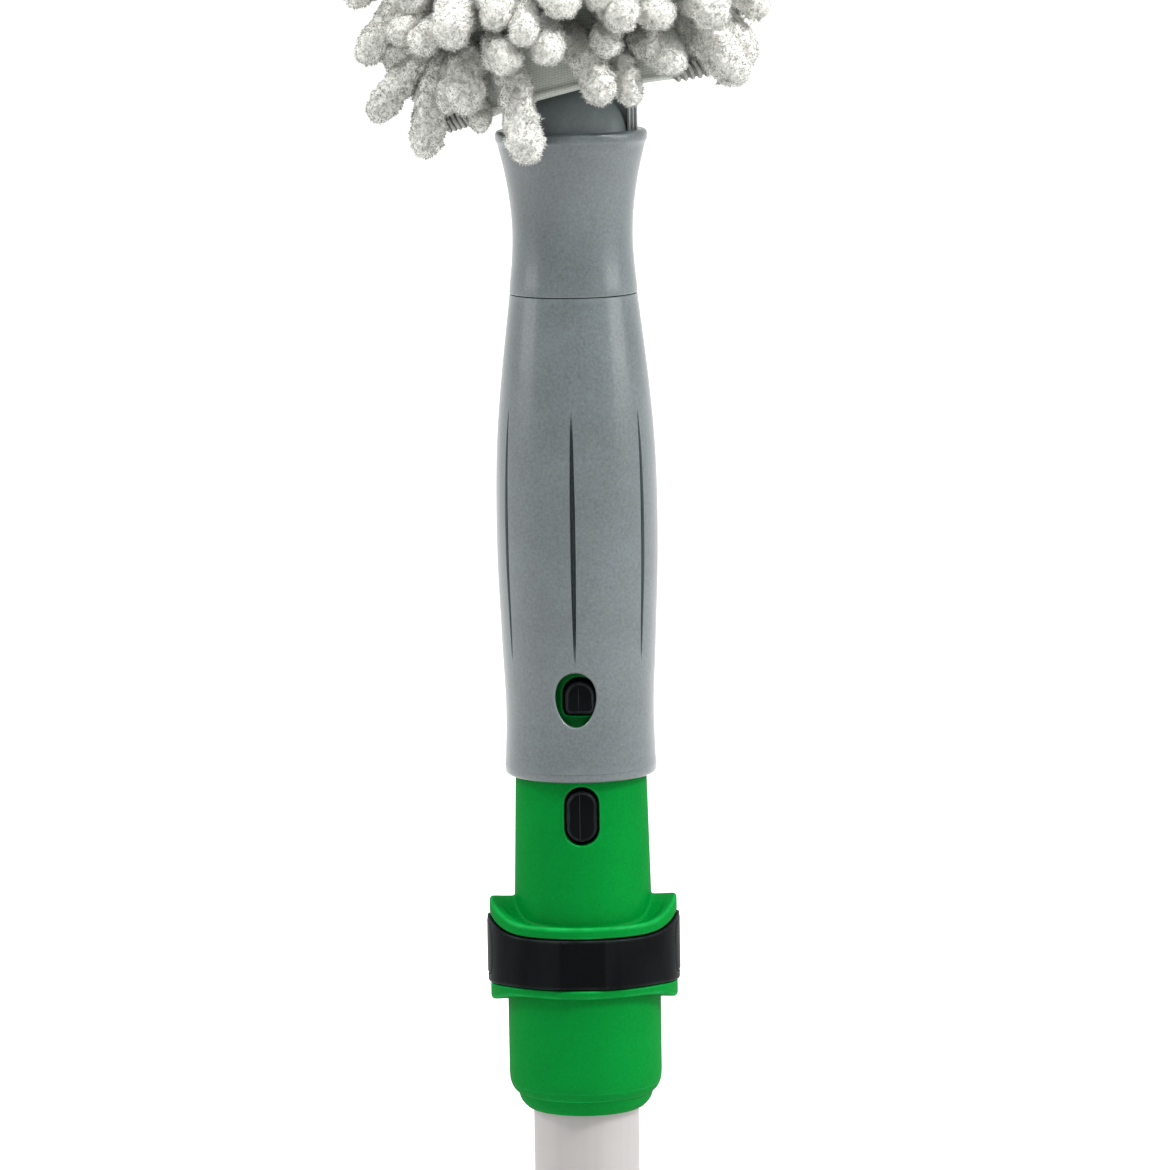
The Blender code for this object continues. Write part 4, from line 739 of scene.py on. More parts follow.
def button_mesh(outline, middle, front_reach, back_reach, crown):
    """Points and faces of a button: rings of its outline, straight to the chamfer, round over it, and in to
    the middle on a low crown that falls away with the square of the distance."""
    way = math.tau * np.arange(BUTTON_COLUMNS) / BUTTON_COLUMNS
    reach = outline(way)
    rows = [(1, 0, back_reach), (1, 0, front_reach - CHAMFER - CHAMFER_MARGIN)]
    for t in np.linspace(0, 1, 7):
        rows.append((1, CHAMFER * t**1.6, front_reach - CHAMFER * (1 - t) ** 1.6))
    rows += [(share, CHAMFER, front_reach) for share in (0.97, 0.85, 0.65, 0.45, 0.25, 0.1)]
    made = []
    widest = reach.max()
    for share, inset, depth in rows:
        out = (reach - inset) * share
        fall = crown * (out / widest) ** 2 if depth > front_reach - CHAMFER else 0 * out
        made.append(np.stack([out * np.cos(way), fall - depth, middle + out * np.sin(way)], -1))
    made.append(np.broadcast_to([0, -front_reach, middle], made[0].shape))
    made.insert(0, np.broadcast_to([0, -back_reach, middle], made[0].shape))
    rings = np.stack(made)
    return rings.reshape(-1, 3), grid_faces(len(rings), BUTTON_COLUMNS).reshape(-1, 4)


def parting_bead(x, low, high, middle, front_reach, crown):
    """Points and faces of the thin raised line that a mould leaves down a button: a low ridge that keeps to
    the crown, front - crown (z / half)^2, and bends back over the chamfers at both ends."""
    z = np.linspace(low, high, 40)
    half = np.where(z > middle, high - middle, middle - low)
    past = np.clip(np.abs(z - middle) - half + CHAMFER, 0, CHAMFER) / CHAMFER
    face = front_reach - crown * ((z - middle) / half) ** 2 - CHAMFER * 0.8 * past**2
    wide, proud = BEAD
    ridge = [(-wide, -BEAD_ROOT), (0, -BEAD_ROOT), (wide, -BEAD_ROOT), (wide, 0), (0, proud), (-wide, 0)]
    across, rise = np.array(ridge).T
    rows = np.stack(np.broadcast_arrays(x + across, -(face[:, None] + rise), z[:, None]), -1)
    rows = np.concatenate([rows[:1], rows, rows[-1:]])
    rows[[0, -1]] = rows[[0, -1]].mean(1, keepdims=True)
    return rows.reshape(-1, 3), grid_faces(len(rows), len(ridge)).reshape(-1, 4)


def flat_slab(outline, low, high, axis, edge):
    """Points and faces of a slab: an outline pushed along an axis, with its two rims drawn in by an edge and
    each end closed by a fan about the outline's middle."""
    outline = np.array(outline)
    middle = outline.mean(0)
    way = outline - middle
    length = np.linalg.norm(way, axis=1, keepdims=True)
    rings = []
    for inset, place in ((0, low), (1, low), (0, low + edge), (0, high - edge), (1, high), (0, high)):
        ring = middle + way * np.maximum(0, 1 - inset * edge / length)
        rings.append(np.insert(ring, axis, place, 1))
    rings[0] = np.broadcast_to(np.insert(middle, axis, low), rings[0].shape)
    rings[-1] = np.broadcast_to(np.insert(middle, axis, high), rings[0].shape)
    grid = np.stack(rings)
    return grid.reshape(-1, 3), grid_faces(len(grid), len(outline)).reshape(-1, 4)


def together(*parts):
    """One array of points and a list of face arrays from several closed forms."""
    points, faces, start = [], [], 0
    for part_points, part_faces in parts:
        kinds = part_faces if isinstance(part_faces, list) else [part_faces]
        points.append(part_points)
        faces += [kind + start for kind in kinds]
        start += len(part_points)
    return np.concatenate(points), faces


black_plastic = moulded(
    "black_plastic", BLACK, BLACK_EDGE, roughness=0.36, depth=0.000012, scale=1900, drift=0.5,
    Specular_IOR_Level=0.01, Coat_Weight=0.03, Coat_Roughness=0.14,
)
turn = np.linspace(0, math.tau, 48, endpoint=False)
boss = np.stack([-LEVER_BACK + BOSS * np.cos(turn), LIP + PIVOT_RISE + BOSS * np.sin(turn)], -1)
low, high = LIP + PIVOT_RISE, LIP + LEVER_TOP
arm = [(-LEVER_BACK, low), (-LEVER_BACK, (low + high) / 2), (-LEVER_BACK, high), (-LEVER_FRONT, high)]
arm += [(-LEVER_FRONT, (low + high) / 2), (-LEVER_FRONT, low + BOSS)]
lower_middle, lower_half_width, lower_half = LOWER_BUTTON
upper_foot, upper_half_width, upper_long = UPPER_BUTTON
upper_half = upper_long / 2
lower_front = float(cone_radius(lower_middle)) + LOWER_PROUD
upper_front = float(cone_radius(upper_foot)) + UPPER_PROUD
lower_outline = slot_outline(lower_half_width, lower_half - lower_half_width)
upper_outline = slot_outline(upper_half_width, upper_half - upper_half_width, upper_half)
slabs = [flat_slab(outline, -LEVER_HALF_WIDTH, LEVER_HALF_WIDTH, 0, CRISP) for outline in (boss, arm)]
buttons, beads = [], []
for outline, middle, half, reach, crown, bead in (
    (lower_outline, LIP + lower_middle, lower_half, lower_front, LOWER_CROWN, LOWER_BEAD),
    (upper_outline, LIP + upper_foot + upper_half, upper_half, upper_front, UPPER_CROWN, UPPER_BEAD),
):
    buttons.append(button_mesh(outline, middle, reach, LEVER_BACK + BUTTON_ROOT, crown))
    beads.append(parting_bead(bead, middle - half, middle + half, middle, reach, crown))
lever_skin = close_up(mesh_from("lock_lever_skin", *together(*slabs, *buttons, *beads)), 50)
dress(lever_skin, "lever", "black_plastic", black_plastic, "lock_lever")

# Release clip
# A black moulded band snapped between the cone's flanges, with a flat panel in front, and two thumb pads
# that stand in its side windows and push the snap buttons in.

BAND_COLUMNS = 256
BAND_WIDTH, BAND_DEPTH, BAND_FLAT = 0.0200, 0.0177, 0.01735
BAND_INNER = (0.0180, 0.0154)
PANEL_SIDES, PANEL_DEPTH, PANEL_EDGE = (-0.0053, 0.0046), 0.00020, 0.0006
# Painted sheen: how much paler edge colour the band gets outside its front panel, for the light its sides
# reflect
PAINTED_SHEEN_SHARE = 0.16
BAND_GAP = 0.0003
BAND_EDGE = 0.0004
BAND_MARGIN = 0.0007
WINDOW_HALF, WINDOW_REACH = (0.00585, 0.00600), 0.0069
PAD_SHARPNESS = 3.6
PAD_HALF = (0.0056, 0.00575)
PAD_FACE = 0.0201
PAD_INNER = 0.0176
PAD_STATIONS = ((0, 0), (1, 0), (1, 0.5), (1, 0.8), (0.99, 0.92), (0.96, 0.98), (0.92, 1))
PUSHER_RADIUS, PUSHER_TIP, PUSHER_ROOT = 0.0020, 0.0134, 0.0005


def box_outline(half_width, half_height, sharpness):
    """A rounded rectangle's reach at each direction: (|cos a / w|^n + |sin a / h|^n)^(-1/n)."""

    def reach(way):
        total = np.abs(np.cos(way) / half_width) ** sharpness + np.abs(np.sin(way) / half_height) ** sharpness
        return total ** (-1 / sharpness)

    return reach


def panel(across, behind):
    """How far each place on the band lies in its front panel: 0 outside, 1 inside, straight over the edge."""
    into = np.minimum(across - PANEL_SIDES[0], PANEL_SIDES[1] - across) / PANEL_EDGE
    return np.clip(into, 0, 1) * ~behind


def band_outside(angles):
    """The band's outer radius: its oval, cut off flat in front and behind, with a shallow panel sunk in the
    front."""
    flat = BAND_FLAT / np.maximum(np.abs(np.sin(angles)), 0.5)
    sunk = PANEL_DEPTH * panel(BAND_FLAT * np.cos(angles), np.sin(angles) > 0)
    return np.minimum(oval(angles, BAND_WIDTH, BAND_DEPTH), flat) - sunk


band_angles = round_angles(BAND_COLUMNS)
outer, inner = band_outside(band_angles), oval(band_angles, *BAND_INNER)
ear = ears(band_angles)
drop = FRONT_DROP + (EAR_DROP - FRONT_DROP) * ear
foot = LOWER_FLANGE[1] - LOWER_DROP[1] * ear - drop + BAND_GAP
top = UPPER_FLANGE[0] + UPPER_LIFT[0] * ear - drop - BAND_GAP
low, high = foot + BAND_MARGIN, top - BAND_MARGIN
band_section = [(inner, foot, BAND_EDGE / 2), (outer, foot, BAND_EDGE), (outer, low, 0), (outer, high, 0)]
band_section += [(outer, top, BAND_EDGE), (inner, top, BAND_EDGE / 2), (inner, high, 0), (inner, low, 0)]
band_rows = rounded_section(band_section, BAND_COLUMNS)
band_rows[..., 1] += LIP
band_windows = []
for middle in (math.pi, math.tau):
    at = near_columns(band_angles, middle, BAND_EDGE / BAND_WIDTH)[0]
    height, radius = band_rows[:, at, 1] - LIP, band_rows[:, at, 0]
    within = (height > low[at] - 1e-6) & (height < high[at] + 1e-6)
    sides = []
    for outside in (True, False):
        found = np.flatnonzero(within & ((radius > (BAND_WIDTH + BAND_INNER[0]) / 2) == outside))
        sides.append(found[np.argsort(height[found])])
    band_windows.append((
        *sides, near_columns(band_angles, middle, WINDOW_REACH / BAND_WIDTH), middle, snap_middle,
        box_outline(*WINDOW_HALF, PAD_SHARPNESS), CRISP,
        lambda angle, height, inside: oval(angle, *BAND_INNER) if inside else band_outside(angle),
    ))
points, faces = pierce(band_rows, band_angles, band_windows, True)
band_skin = close_up(mesh_from("clip_band_skin", points, faces))
worn_and_glint = band_skin.attributes["worn_edge_and_glint"].data
place, share = np.empty((len(band_skin.vertices), 3), np.float32), np.empty(len(worn_and_glint), np.float32)
band_skin.vertices.foreach_get("co", place.ravel())
worn_and_glint.foreach_get("value", share)
# Painted sheen: outside the front panel the band takes a little of the paler edge colour
painted_sheen = PAINTED_SHEEN_SHARE * (1 - panel(place[:, 0], place[:, 1] > 0))
worn_and_glint.foreach_set("value", np.maximum(share, painted_sheen.astype(np.float32)))
dress(band_skin, "pole", "black_plastic", black_plastic, "clip_band")

for side, word in ((-1, "left"), (1, "right")):
    way = math.tau * np.arange(BUTTON_COLUMNS) / BUTTON_COLUMNS
    reach = box_outline(*PAD_HALF, PAD_SHARPNESS)(way)
    made = []
    for share, depth in (*PAD_STATIONS, *[(share, 1) for share in np.linspace(0.86, 0, 16)]):
        y, z = reach * share * np.cos(way), reach * share * np.sin(way)
        face = PAD_FACE * np.sqrt(1 - (y / BAND_DEPTH) ** 2)
        made.append(np.stack([side * (PAD_INNER + (face - PAD_INNER) * depth), y, snap_middle + z], -1))
    pad = np.stack(made)
    ring = np.stack([PUSHER_RADIUS * np.cos(turn), snap_middle + PUSHER_RADIUS * np.sin(turn)], -1)
    ends = sorted((side * PUSHER_TIP, side * (PAD_INNER + PUSHER_ROOT)))
    plate = (pad.reshape(-1, 3), grid_faces(len(pad), BUTTON_COLUMNS).reshape(-1, 4))
    parts = together(plate, flat_slab(ring, *ends, 0, CRISP))
    pad_skin = close_up(mesh_from(f"release_pad_{word}_skin", *parts), 50)
    dress(pad_skin, f"release_{word}", "black_plastic", black_plastic, f"release_pad_{word}")

# Handle grip
# The long lower half of the handle: gray moulded plastic that swells to a belly, with six slim flutes cut
# round it and an egg-shaped window for the upper lock button. It pushes over the cone.

GRIP_FOOT, GRIP_TOP = 0.0706, 0.1703
SEAM_STEP = 0.00015
GRIP_CURVE = (0.074, 0.1696)
GRIP_KNOTS = (
    (0.01562, 0.0735),
    (0.015354, 0.08143),
    (0.016004, 0.0996),
    (0.016654, 0.1178),
    (0.016150, 0.1420),
    (0.015304, 0.1517),
    (0.013204, 0.1700),
)
GRIP_FOOT_RADIUS, GRIP_FOOT_ROUND = 0.01566, 0.0014
FOOT_BEAD_RISE, FOOT_BEAD_STEP = 0.0017, 0.00010
SOCKET_FOOT, SOCKET_HEAD, SOCKET_TOP = 0.01396, 0.01265, 0.1225
GRIP_BORE, GRIP_SKIN = 0.0113, 0.0005
SEAM_RADIUS = 0.013204
HANDLE_TURN = math.radians(-3.3)
FLUTE_TURNS = (-180, -123, -57, 0, 57, 123)
FLUTE_MIDDLE, FLUTE_REACH = 0.1214, 0.0262
FLUTE_HALF, FLUTE_DEPTH = 0.00042, 0.0020
FLUTE_LEAST, BELLY = 0.00012, 0.0166
FLUTE_STATIONS = ((-1.5, 0), (-1.12, 0), (-1.0, 0.06), (-0.86, 0.62), (-0.5, 0.93), (0, 1))
FLUTE_SPACES = 18
WINDOW_MIDDLE, WINDOW_EGG = 0.0878, (0.00435, 0.0057, 0.10)
WINDOW_EDGE, WINDOW_PATCH, WINDOW_RADIUS = 0.0004, (0.0069, 0.0066), 0.0155
# GRAY_EDGE goes on tight edges, for wear and as a painted highlight
GRAY, GRAY_EDGE = (0.084, 0.102, 0.108, 1), (0.108, 0.129, 0.136, 1)


def eased(knots, heights):
    """A radius at each height on a smooth curve through (radius, height) knots: between two knots the cubic
    h00 r0 + h10 m0 + h01 r1 + h11 m1, with each slope m taken from the knots on either side."""
    radius, place = np.array(knots).T
    slope = np.gradient(radius, place)
    k = np.clip(np.searchsorted(place, heights) - 1, 0, len(place) - 2)
    step = place[k + 1] - place[k]
    t = np.clip((heights - place[k]) / step, 0, 1)
    start = (2 * t**3 - 3 * t**2 + 1) * radius[k] + (t**3 - 2 * t**2 + t) * step * slope[k]
    return start + (3 * t**2 - 2 * t**3) * radius[k + 1] + (t**3 - t**2) * step * slope[k + 1]


def egg_outline(half_width, half_height, skew):
    """An egg's reach at each direction, wider above its middle: x = w cos t (1 + skew sin t), y = h sin t."""
    t = np.linspace(-math.pi, math.pi, 721)
    x, y = half_width * np.cos(t) * (1 + skew * np.sin(t)), half_height * np.sin(t)
    way, reach = np.arctan2(y, x), np.hypot(x, y)
    order = np.argsort(way)
    return lambda angle: np.interp(angle, way[order], reach[order], period=math.tau)


def flute_grid(heights, front):
    """Column angles and a depth for each height. Round every flute the columns follow its lens, half width
    w (1 - t^2)^0.8 and a little more, and between the flutes they are spread evenly. The depth is
    D sqrt(1 - t^2), faded in at both ends, times a station's share. t runs from -1 to 1 along the flute."""
    t = np.clip((heights - FLUTE_MIDDLE) / FLUTE_REACH, -1, 1)
    half = (FLUTE_HALF * (1 - t**2) ** 0.8 + FLUTE_LEAST) / BELLY
    deep = FLUTE_DEPTH * np.sqrt(1 - t**2) * np.minimum(1, 6 * (1 - np.abs(t)))
    stations = list(FLUTE_STATIONS) + [(-place, share) for place, share in FLUTE_STATIONS[-2::-1]]
    place, share = np.array(stations).T
    angles, depths = [], []
    for flute, next_flute in zip(FLUTE_TURNS, (*FLUTE_TURNS[1:], 180)):
        cluster = front + math.radians(flute) + half[:, None] * place
        following = front + math.radians(next_flute) - half * place[-1]
        gap = np.linspace(0, 1, FLUTE_SPACES + 2)[1:-1]
        between = cluster[:, -1:] + (following - cluster[:, -1])[:, None] * gap
        angles += [cluster, between]
        depths += [deep[:, None] * share, np.zeros_like(between)]
    return np.concatenate(angles, 1), np.concatenate(depths, 1)


gray_plastic = moulded(
    "gray_plastic", GRAY, GRAY_EDGE, roughness=0.36, depth=0.000024, scale=1700, drift=0.55,
    Specular_IOR_Level=0.45, Coat_Weight=0.45, Coat_Roughness=0.18,
)
grip_front = front + HANDLE_TURN
curve_heights = np.arange(*GRIP_CURVE, ROW_STEP)
curve_radii = eased(GRIP_KNOTS, curve_heights)
grip_section = [(SOCKET_FOOT, GRIP_FOOT, BROKEN), (GRIP_FOOT_RADIUS, GRIP_FOOT, GRIP_FOOT_ROUND)]
bead = GRIP_FOOT + FOOT_BEAD_RISE
grip_section += [(GRIP_FOOT_RADIUS, bead, 0), (GRIP_FOOT_RADIUS + FOOT_BEAD_STEP, bead + FOOT_BEAD_STEP, 0)]
grip_section += [(radius, height, 0) for radius, height in zip(curve_radii, curve_heights)]
grip_section += [(SEAM_RADIUS, GRIP_TOP - SEAM_STEP, 0), (SEAM_RADIUS - SEAM_STEP, GRIP_TOP, CRISP)]
grip_section += [(GRIP_BORE, GRIP_TOP, CRISP), (GRIP_BORE, SOCKET_TOP, BROKEN)]
grip_section += [(SOCKET_HEAD, SOCKET_TOP, BROKEN)]
flat_rows = rounded_section(grip_section, 1)[:, 0]
grip_angles, grip_depths = flute_grid(flat_rows[:, 1], grip_front)
# The inner wall lies more than the skin's thickness under the curve, and has no flutes
grip_depths[flat_rows[:, 0] < eased(GRIP_KNOTS, flat_rows[:, 1]) - GRIP_SKIN] = 0
grip_rows = np.repeat(flat_rows[:, None], grip_angles.shape[1], 1)
grip_rows[..., 0] -= grip_depths
grip_rows[..., 1] += LIP
socket_slope = (SOCKET_HEAD - SOCKET_FOOT) / (SOCKET_TOP - GRIP_FOOT)


def grip_wall(angle, height, inside):
    """The grip's surface near the window: its curve outside and the straight cone socket inside."""
    if inside:
        return SOCKET_FOOT + socket_slope * (height - LIP - GRIP_FOOT)
    return eased(GRIP_KNOTS, height - LIP)


# Below the flutes, where the window is, every row has the first row's angles
rise, reach = WINDOW_PATCH
window_hole = hole_in(
    grip_rows, grip_angles[0], (grip_front, LIP + WINDOW_MIDDLE), (rise, rise, reach / WINDOW_RADIUS),
    egg_outline(*WINDOW_EGG), WINDOW_EDGE, grip_wall,
)
points, faces = pierce(grip_rows, grip_angles, [window_hole], True)
grip_skin = close_up(mesh_from("handle_grip_skin", points, faces))
dress(grip_skin, "pole", "gray_plastic", gray_plastic, "handle_grip")

# Handle collar
# The flared top piece of the handle, the same gray plastic: its spigot is pressed into the grip, and the
# core's stem stands in its bore. A thin rolled rim runs round the top.

RIM_COLUMNS = 128
COLLAR_CURVE = (0.1722, 0.2013)
COLLAR_KNOTS = (
    (0.013204, 0.1712),
    (0.012620, 0.1770),
    (0.012404, 0.1828),
    (0.013604, 0.1943),
    (0.015200, 0.2013),
)
HANDLE_TOP = 0.2040
RIM_RADIUS, RIM_ROUND, RIM_WALL, RIM_FOOT = 0.01562, 0.0014, 0.0022, 0.2019
RIM_INNER_ROUND = 0.0004
RECESS_DEPTH, RECESS_INNER = 0.0012, 0.0118
STEM_BORE, SPIGOT, SPIGOT_FOOT = 0.0083, 0.0110, 0.1601
SEAM_FOOT = 0.17042

curve_heights = np.arange(*COLLAR_CURVE, ROW_STEP)
curve_radii = eased(COLLAR_KNOTS, curve_heights)
top_section = [(STEM_BORE, SPIGOT_FOOT, BROKEN), (SPIGOT, SPIGOT_FOOT, BROKEN), (SPIGOT, SEAM_FOOT, CRISP)]
top_section += [(SEAM_RADIUS - SEAM_STEP, SEAM_FOOT, CRISP), (SEAM_RADIUS, SEAM_FOOT + SEAM_STEP, CRISP)]
top_section += [(radius, height, 0) for radius, height in zip(curve_radii, curve_heights)]
top_section += [(RIM_RADIUS, RIM_FOOT, RIM_ROUND / 2)]
top_section += [(RIM_RADIUS, HANDLE_TOP, RIM_ROUND), (RIM_RADIUS - RIM_WALL, HANDLE_TOP, RIM_INNER_ROUND)]
top_section += [(RIM_RADIUS - RIM_WALL, HANDLE_TOP - RECESS_DEPTH, BROKEN)]
top_section += [(RECESS_INNER, HANDLE_TOP - RECESS_DEPTH, BROKEN), (RECESS_INNER, HANDLE_TOP, CRISP)]
top_section += [(STEM_BORE, HANDLE_TOP, CRISP)]
top_rows = rounded_section(top_section, RIM_COLUMNS)
top_rows[..., 1] += LIP
top_skin = close_up(mesh_from("handle_collar_skin", *turned(top_rows, along=True)))
dress(top_skin, "pole", "gray_plastic", gray_plastic, "handle_collar")

# Core
# The bendable flat core: six short dark plastic links on steel hinge pins, above a tapered, ribbed neck whose
# stem stands in the handle collar. The sleeve hides all but the neck.

NECK_COLUMNS = 96
NECK_FOOT, NECK_TOP = (0.01185, 0.2034), (0.00664, 0.2135)
NECK_CURVE = 1.63
RIB_FOOT, RIB_TOP = 0.2032, 0.2254
RIB_SECTION = (
    (0.01150, 0.0034),
    (0.01360, 0.0034),
    (0.01370, 0.0000),
    (0.01368, -0.0032),
    (0.01345, -0.0036),
    (0.01305, -0.0033),
    (0.01275, -0.0037),
    (0.01235, -0.0034),
    (0.01195, -0.0038),
    (0.01155, -0.0034),
)
# Painted light: the ribs are the core's dark plastic, given a much paler gray for the light from the right on
# them
PAINTED_LIGHT_RIB_GRAY = (0.50, 0.53, 0.52, 1)

painted_light_rib_plastic = moulded("painted_light_rib_plastic", PAINTED_LIGHT_RIB_GRAY, PAINTED_LIGHT_RIB_GRAY, roughness=0.50, depth=0.00003, scale=1900, drift=0.3)
core_links = [f"core_link_{k}" for k in range(1, HINGES + 1)]
finish_nodes(core_plastic, "core_base", *core_links)
neck_rise = np.linspace(0, 1, 12)
neck_radius = NECK_FOOT[0] + (NECK_TOP[0] - NECK_FOOT[0]) * neck_rise**NECK_CURVE
neck_height = LIP + NECK_FOOT[1] + (NECK_TOP[1] - NECK_FOOT[1]) * neck_rise
neck_radius = np.concatenate([[0], neck_radius, [0]])
neck_height = np.concatenate([neck_height[:1], neck_height, neck_height[-1:]])
neck_rows = np.repeat(np.stack([neck_radius, neck_height], -1)[:, None], NECK_COLUMNS, 1)
ribs = []
for side in (-1, 1):
    outline = [(side * x, y) for x, y in RIB_SECTION]
    ribs.append(flat_slab(outline, LIP + RIB_FOOT, LIP + RIB_TOP, 2, CRISP))
dress(close_up(mesh_from("core_neck", *turned(neck_rows))), "pole", "core_plastic", core_plastic)
dress(close_up(mesh_from("core_neck_ribs", *together(*ribs))), "pole", "core_plastic", painted_light_rib_plastic)

# Chenille sleeve
# A flat knitted tube, closed at its top and hemmed at its mouth, with a pile of thick soft fingers all over.
# It is pulled over the core; the fingers hang at the mouth and stand out higher up.

MOUTH_LINE = (
    (-0.0290, 0.4588),
    (-0.0240, 0.4600),
    (-0.0082, 0.4653),
    (0.0030, 0.4681),
    (0.0144, 0.4688),
    (0.0290, 0.4704),
)
MOUTH_MIDDLE = 0.4680
SLEEVE_TOP = 0.8035
SLEEVE_WIDTH = 0.0290
SLEEVE_DEPTHS = (0.0125, 0.0090)
FIRST_HINGE, HINGE_PITCH = 0.5050, 0.0500
BACKING_WALL = 0.0010
BACKING_COLUMNS, BACKING_ROWS = 144, 10
HEM_ROWS = (
    (0, -0.0004),
    (0.0002, 0),
    (0.0006, 0.0003),
    (0.0011, 0.0004),
    (0.0016, 0.0002),
    (0.0019, -0.0001),
)
CROWN_RISE, CROWN_FLAT = 0.0050, 0.45
CROWN_FINGERS, CROWN_PLACE, CROWN_DROOPS, CROWN_SHARE = 12, (0.62, 0.35), (-58, -28), 0.75
FINGER_ROW, FINGER_COLUMNS = 0.0082, 15
FINGER_LENGTHS, FINGER_RADII = (0.0185, 0.0225), (0.0034, 0.0042)
DROOPS = ((0.0, 6), (0.03, 14), (0.085, 34), (0.5, 30), (1.0, 6))
DROOP_SCATTER, LEAN_SCATTER = 9, 16
ROOT_SINK = 0.0008
MOUTH_SHARE = 0.72
LAID_REGION, BARE_CORNER = (0.4965, 0.0020), (-0.0220, 0.4715, 0.0060)
COARSE_RINGS = (8, 3, (0, 35, 65))
SOFT_WAVES = ((0.0035, 0.10, 5), (0.0014, 0.05, 6))
COARSE_NAP = (0.33e6, (0.00050, 0.00120), 0.00018)
NAP_ROOT, NAP_SLANT, NAP_SCATTER = 0.00015, 0.25, 0.42
PLACE_SEED, COARSE_SEED = 11, 20
# Painted shade: the finger skins under the nap and the fibres' roots are darker; fibre tips vary lighter by
# chance
PAINTED_SKIN_SHADE, PAINTED_ROOT_SHADE, TIP_TONES = 0.94, 0.76, (0.92, 1.15)
CHENILLE = (0.825, 0.825, 0.777, 1)
KNIT = (0.50, 0.53, 0.48, 1)
WALE_PITCH, COURSE_PITCH, BOUND_EDGE = 0.0006, 0.0005, 0.0015


def sleeve_depth(height):
    """Half the sleeve's depth: deep at the mouth, and settling to the flat core at the first hinge."""
    t = np.clip((height - MOUTH_MIDDLE) / (FIRST_HINGE - MOUTH_MIDDLE), 0, 1)
    return SLEEVE_DEPTHS[0] + (SLEEVE_DEPTHS[1] - SLEEVE_DEPTHS[0]) * t * t * (3 - 2 * t)


def mouth_height(x):
    """The hem's height across the sleeve, straight between its measured points."""
    across, height = np.array(MOUTH_LINE).T
    return np.interp(x, across, height)


def flat_tube(share, half_width, half_depth):
    """Points on a flat tube's section at a share of the way round from its right edge, and the way out of
    it: half circles of the half depth at both edges, joined by straight sides."""
    straight, arc = 2 * (half_width - half_depth), math.pi * half_depth
    along = (share % 1) * 2 * (straight + arc) + arc / 2
    side = np.where(along % (2 * (straight + arc)) < straight + arc, 1, -1)
    along = along % (straight + arc)
    angle = np.minimum(along / half_depth, math.pi) - math.pi / 2
    out_x, out_y = side * np.cos(angle), side * np.sin(angle)
    slide = np.maximum(along - arc, 0)
    x = out_x * half_depth + side * (straight / 2 - slide)
    return np.stack([x, out_y * half_depth], -1), np.stack([out_x, out_y], -1)


def backing(low, high, hem, closed_top):
    """Points and faces of a stretch of knitted tube with a wall, and a (round, up) place in metres for each
    point. Its low and high edges are heights, or one for each point round. A hem is rolled out along the low
    edge, and a closed top is drawn in on a low crown: sqrt(1 - t^2) of its width at a share t of its rise."""
    share = (np.arange(BACKING_COLUMNS) + 0.5) / BACKING_COLUMNS
    span = np.mean(high - low)
    stations = [(rise / span, roll) for rise, roll in HEM_ROWS] if hem else [(0, 0)]
    stations += [(step, 0) for step in np.linspace(0, 1, BACKING_ROWS + 1) if step > stations[-1][0] + 0.02]
    skins = []
    for inset in (0, BACKING_WALL):
        rings = []
        for step, roll in stations:
            height = low + (high - low) * step
            swell = -inset if inset else roll
            section, _ = flat_tube(share, SLEEVE_WIDTH + swell, sleeve_depth(height) + swell)
            rings.append(np.column_stack([section, np.broadcast_to(height, len(share))]))
        if closed_top:
            rim = rings[-1]
            for t in np.sin(np.linspace(0, math.pi / 2, 7))[1:]:
                width = math.sqrt(max(0, 1 - t * t))
                rise = rim[:, 2] + (CROWN_RISE - inset) * t
                drawn_in = rim[:, 0] * (CROWN_FLAT + (1 - CROWN_FLAT) * width)
                rings.append(np.column_stack([drawn_in, rim[:, 1] * width, rise]))
        skins.append(rings)
    grid = np.stack(skins[1][::-1] + skins[0])
    girth = 4 * (SLEEVE_WIDTH - SLEEVE_DEPTHS[1]) + math.tau * SLEEVE_DEPTHS[1]
    round_way = np.broadcast_to(share * girth, grid.shape[:2])
    place = np.stack([round_way, grid[..., 2] - np.broadcast_to(low, len(share))], -1)
    faces = grid_faces(len(grid), BACKING_COLUMNS, True, not closed_top).reshape(-1, 4)
    return grid.reshape(-1, 3), faces, place.reshape(-1, 2)


def unit(ways):
    """Each way at a length of one."""
    return ways / np.maximum(np.linalg.norm(ways, axis=-1, keepdims=True), 1e-12)


def drooping(t, pile):
    """Places and headings along many fingers. A finger starts 0.7 of its droop below its way out, turns
    evenly to 1.25 of it, and leans sideways, so its path is the integral of (cos a, sin a) over an even
    turn."""
    down = np.array([0, 0, -1.0])
    length, droop = pile["length"][:, None], pile["droop"][:, None]
    across = unit(np.cross(pile["out"], down))
    aside = unit(pile["out"] + across * np.tan(pile["lean"])[:, None])[:, None]
    start, turn = 0.70 * droop, 0.55 * droop
    turn = np.where(np.abs(turn) < 1e-3, 1e-3, turn)
    angle = start + turn * t
    reach = (np.sin(angle) - np.sin(start)) / turn * length
    fall = (np.cos(start) - np.cos(angle)) / turn * length
    path = pile["root"][:, None] + aside * reach[..., None] + down * fall[..., None]
    return path, aside * np.cos(angle)[..., None] + down * np.sin(angle)[..., None], across


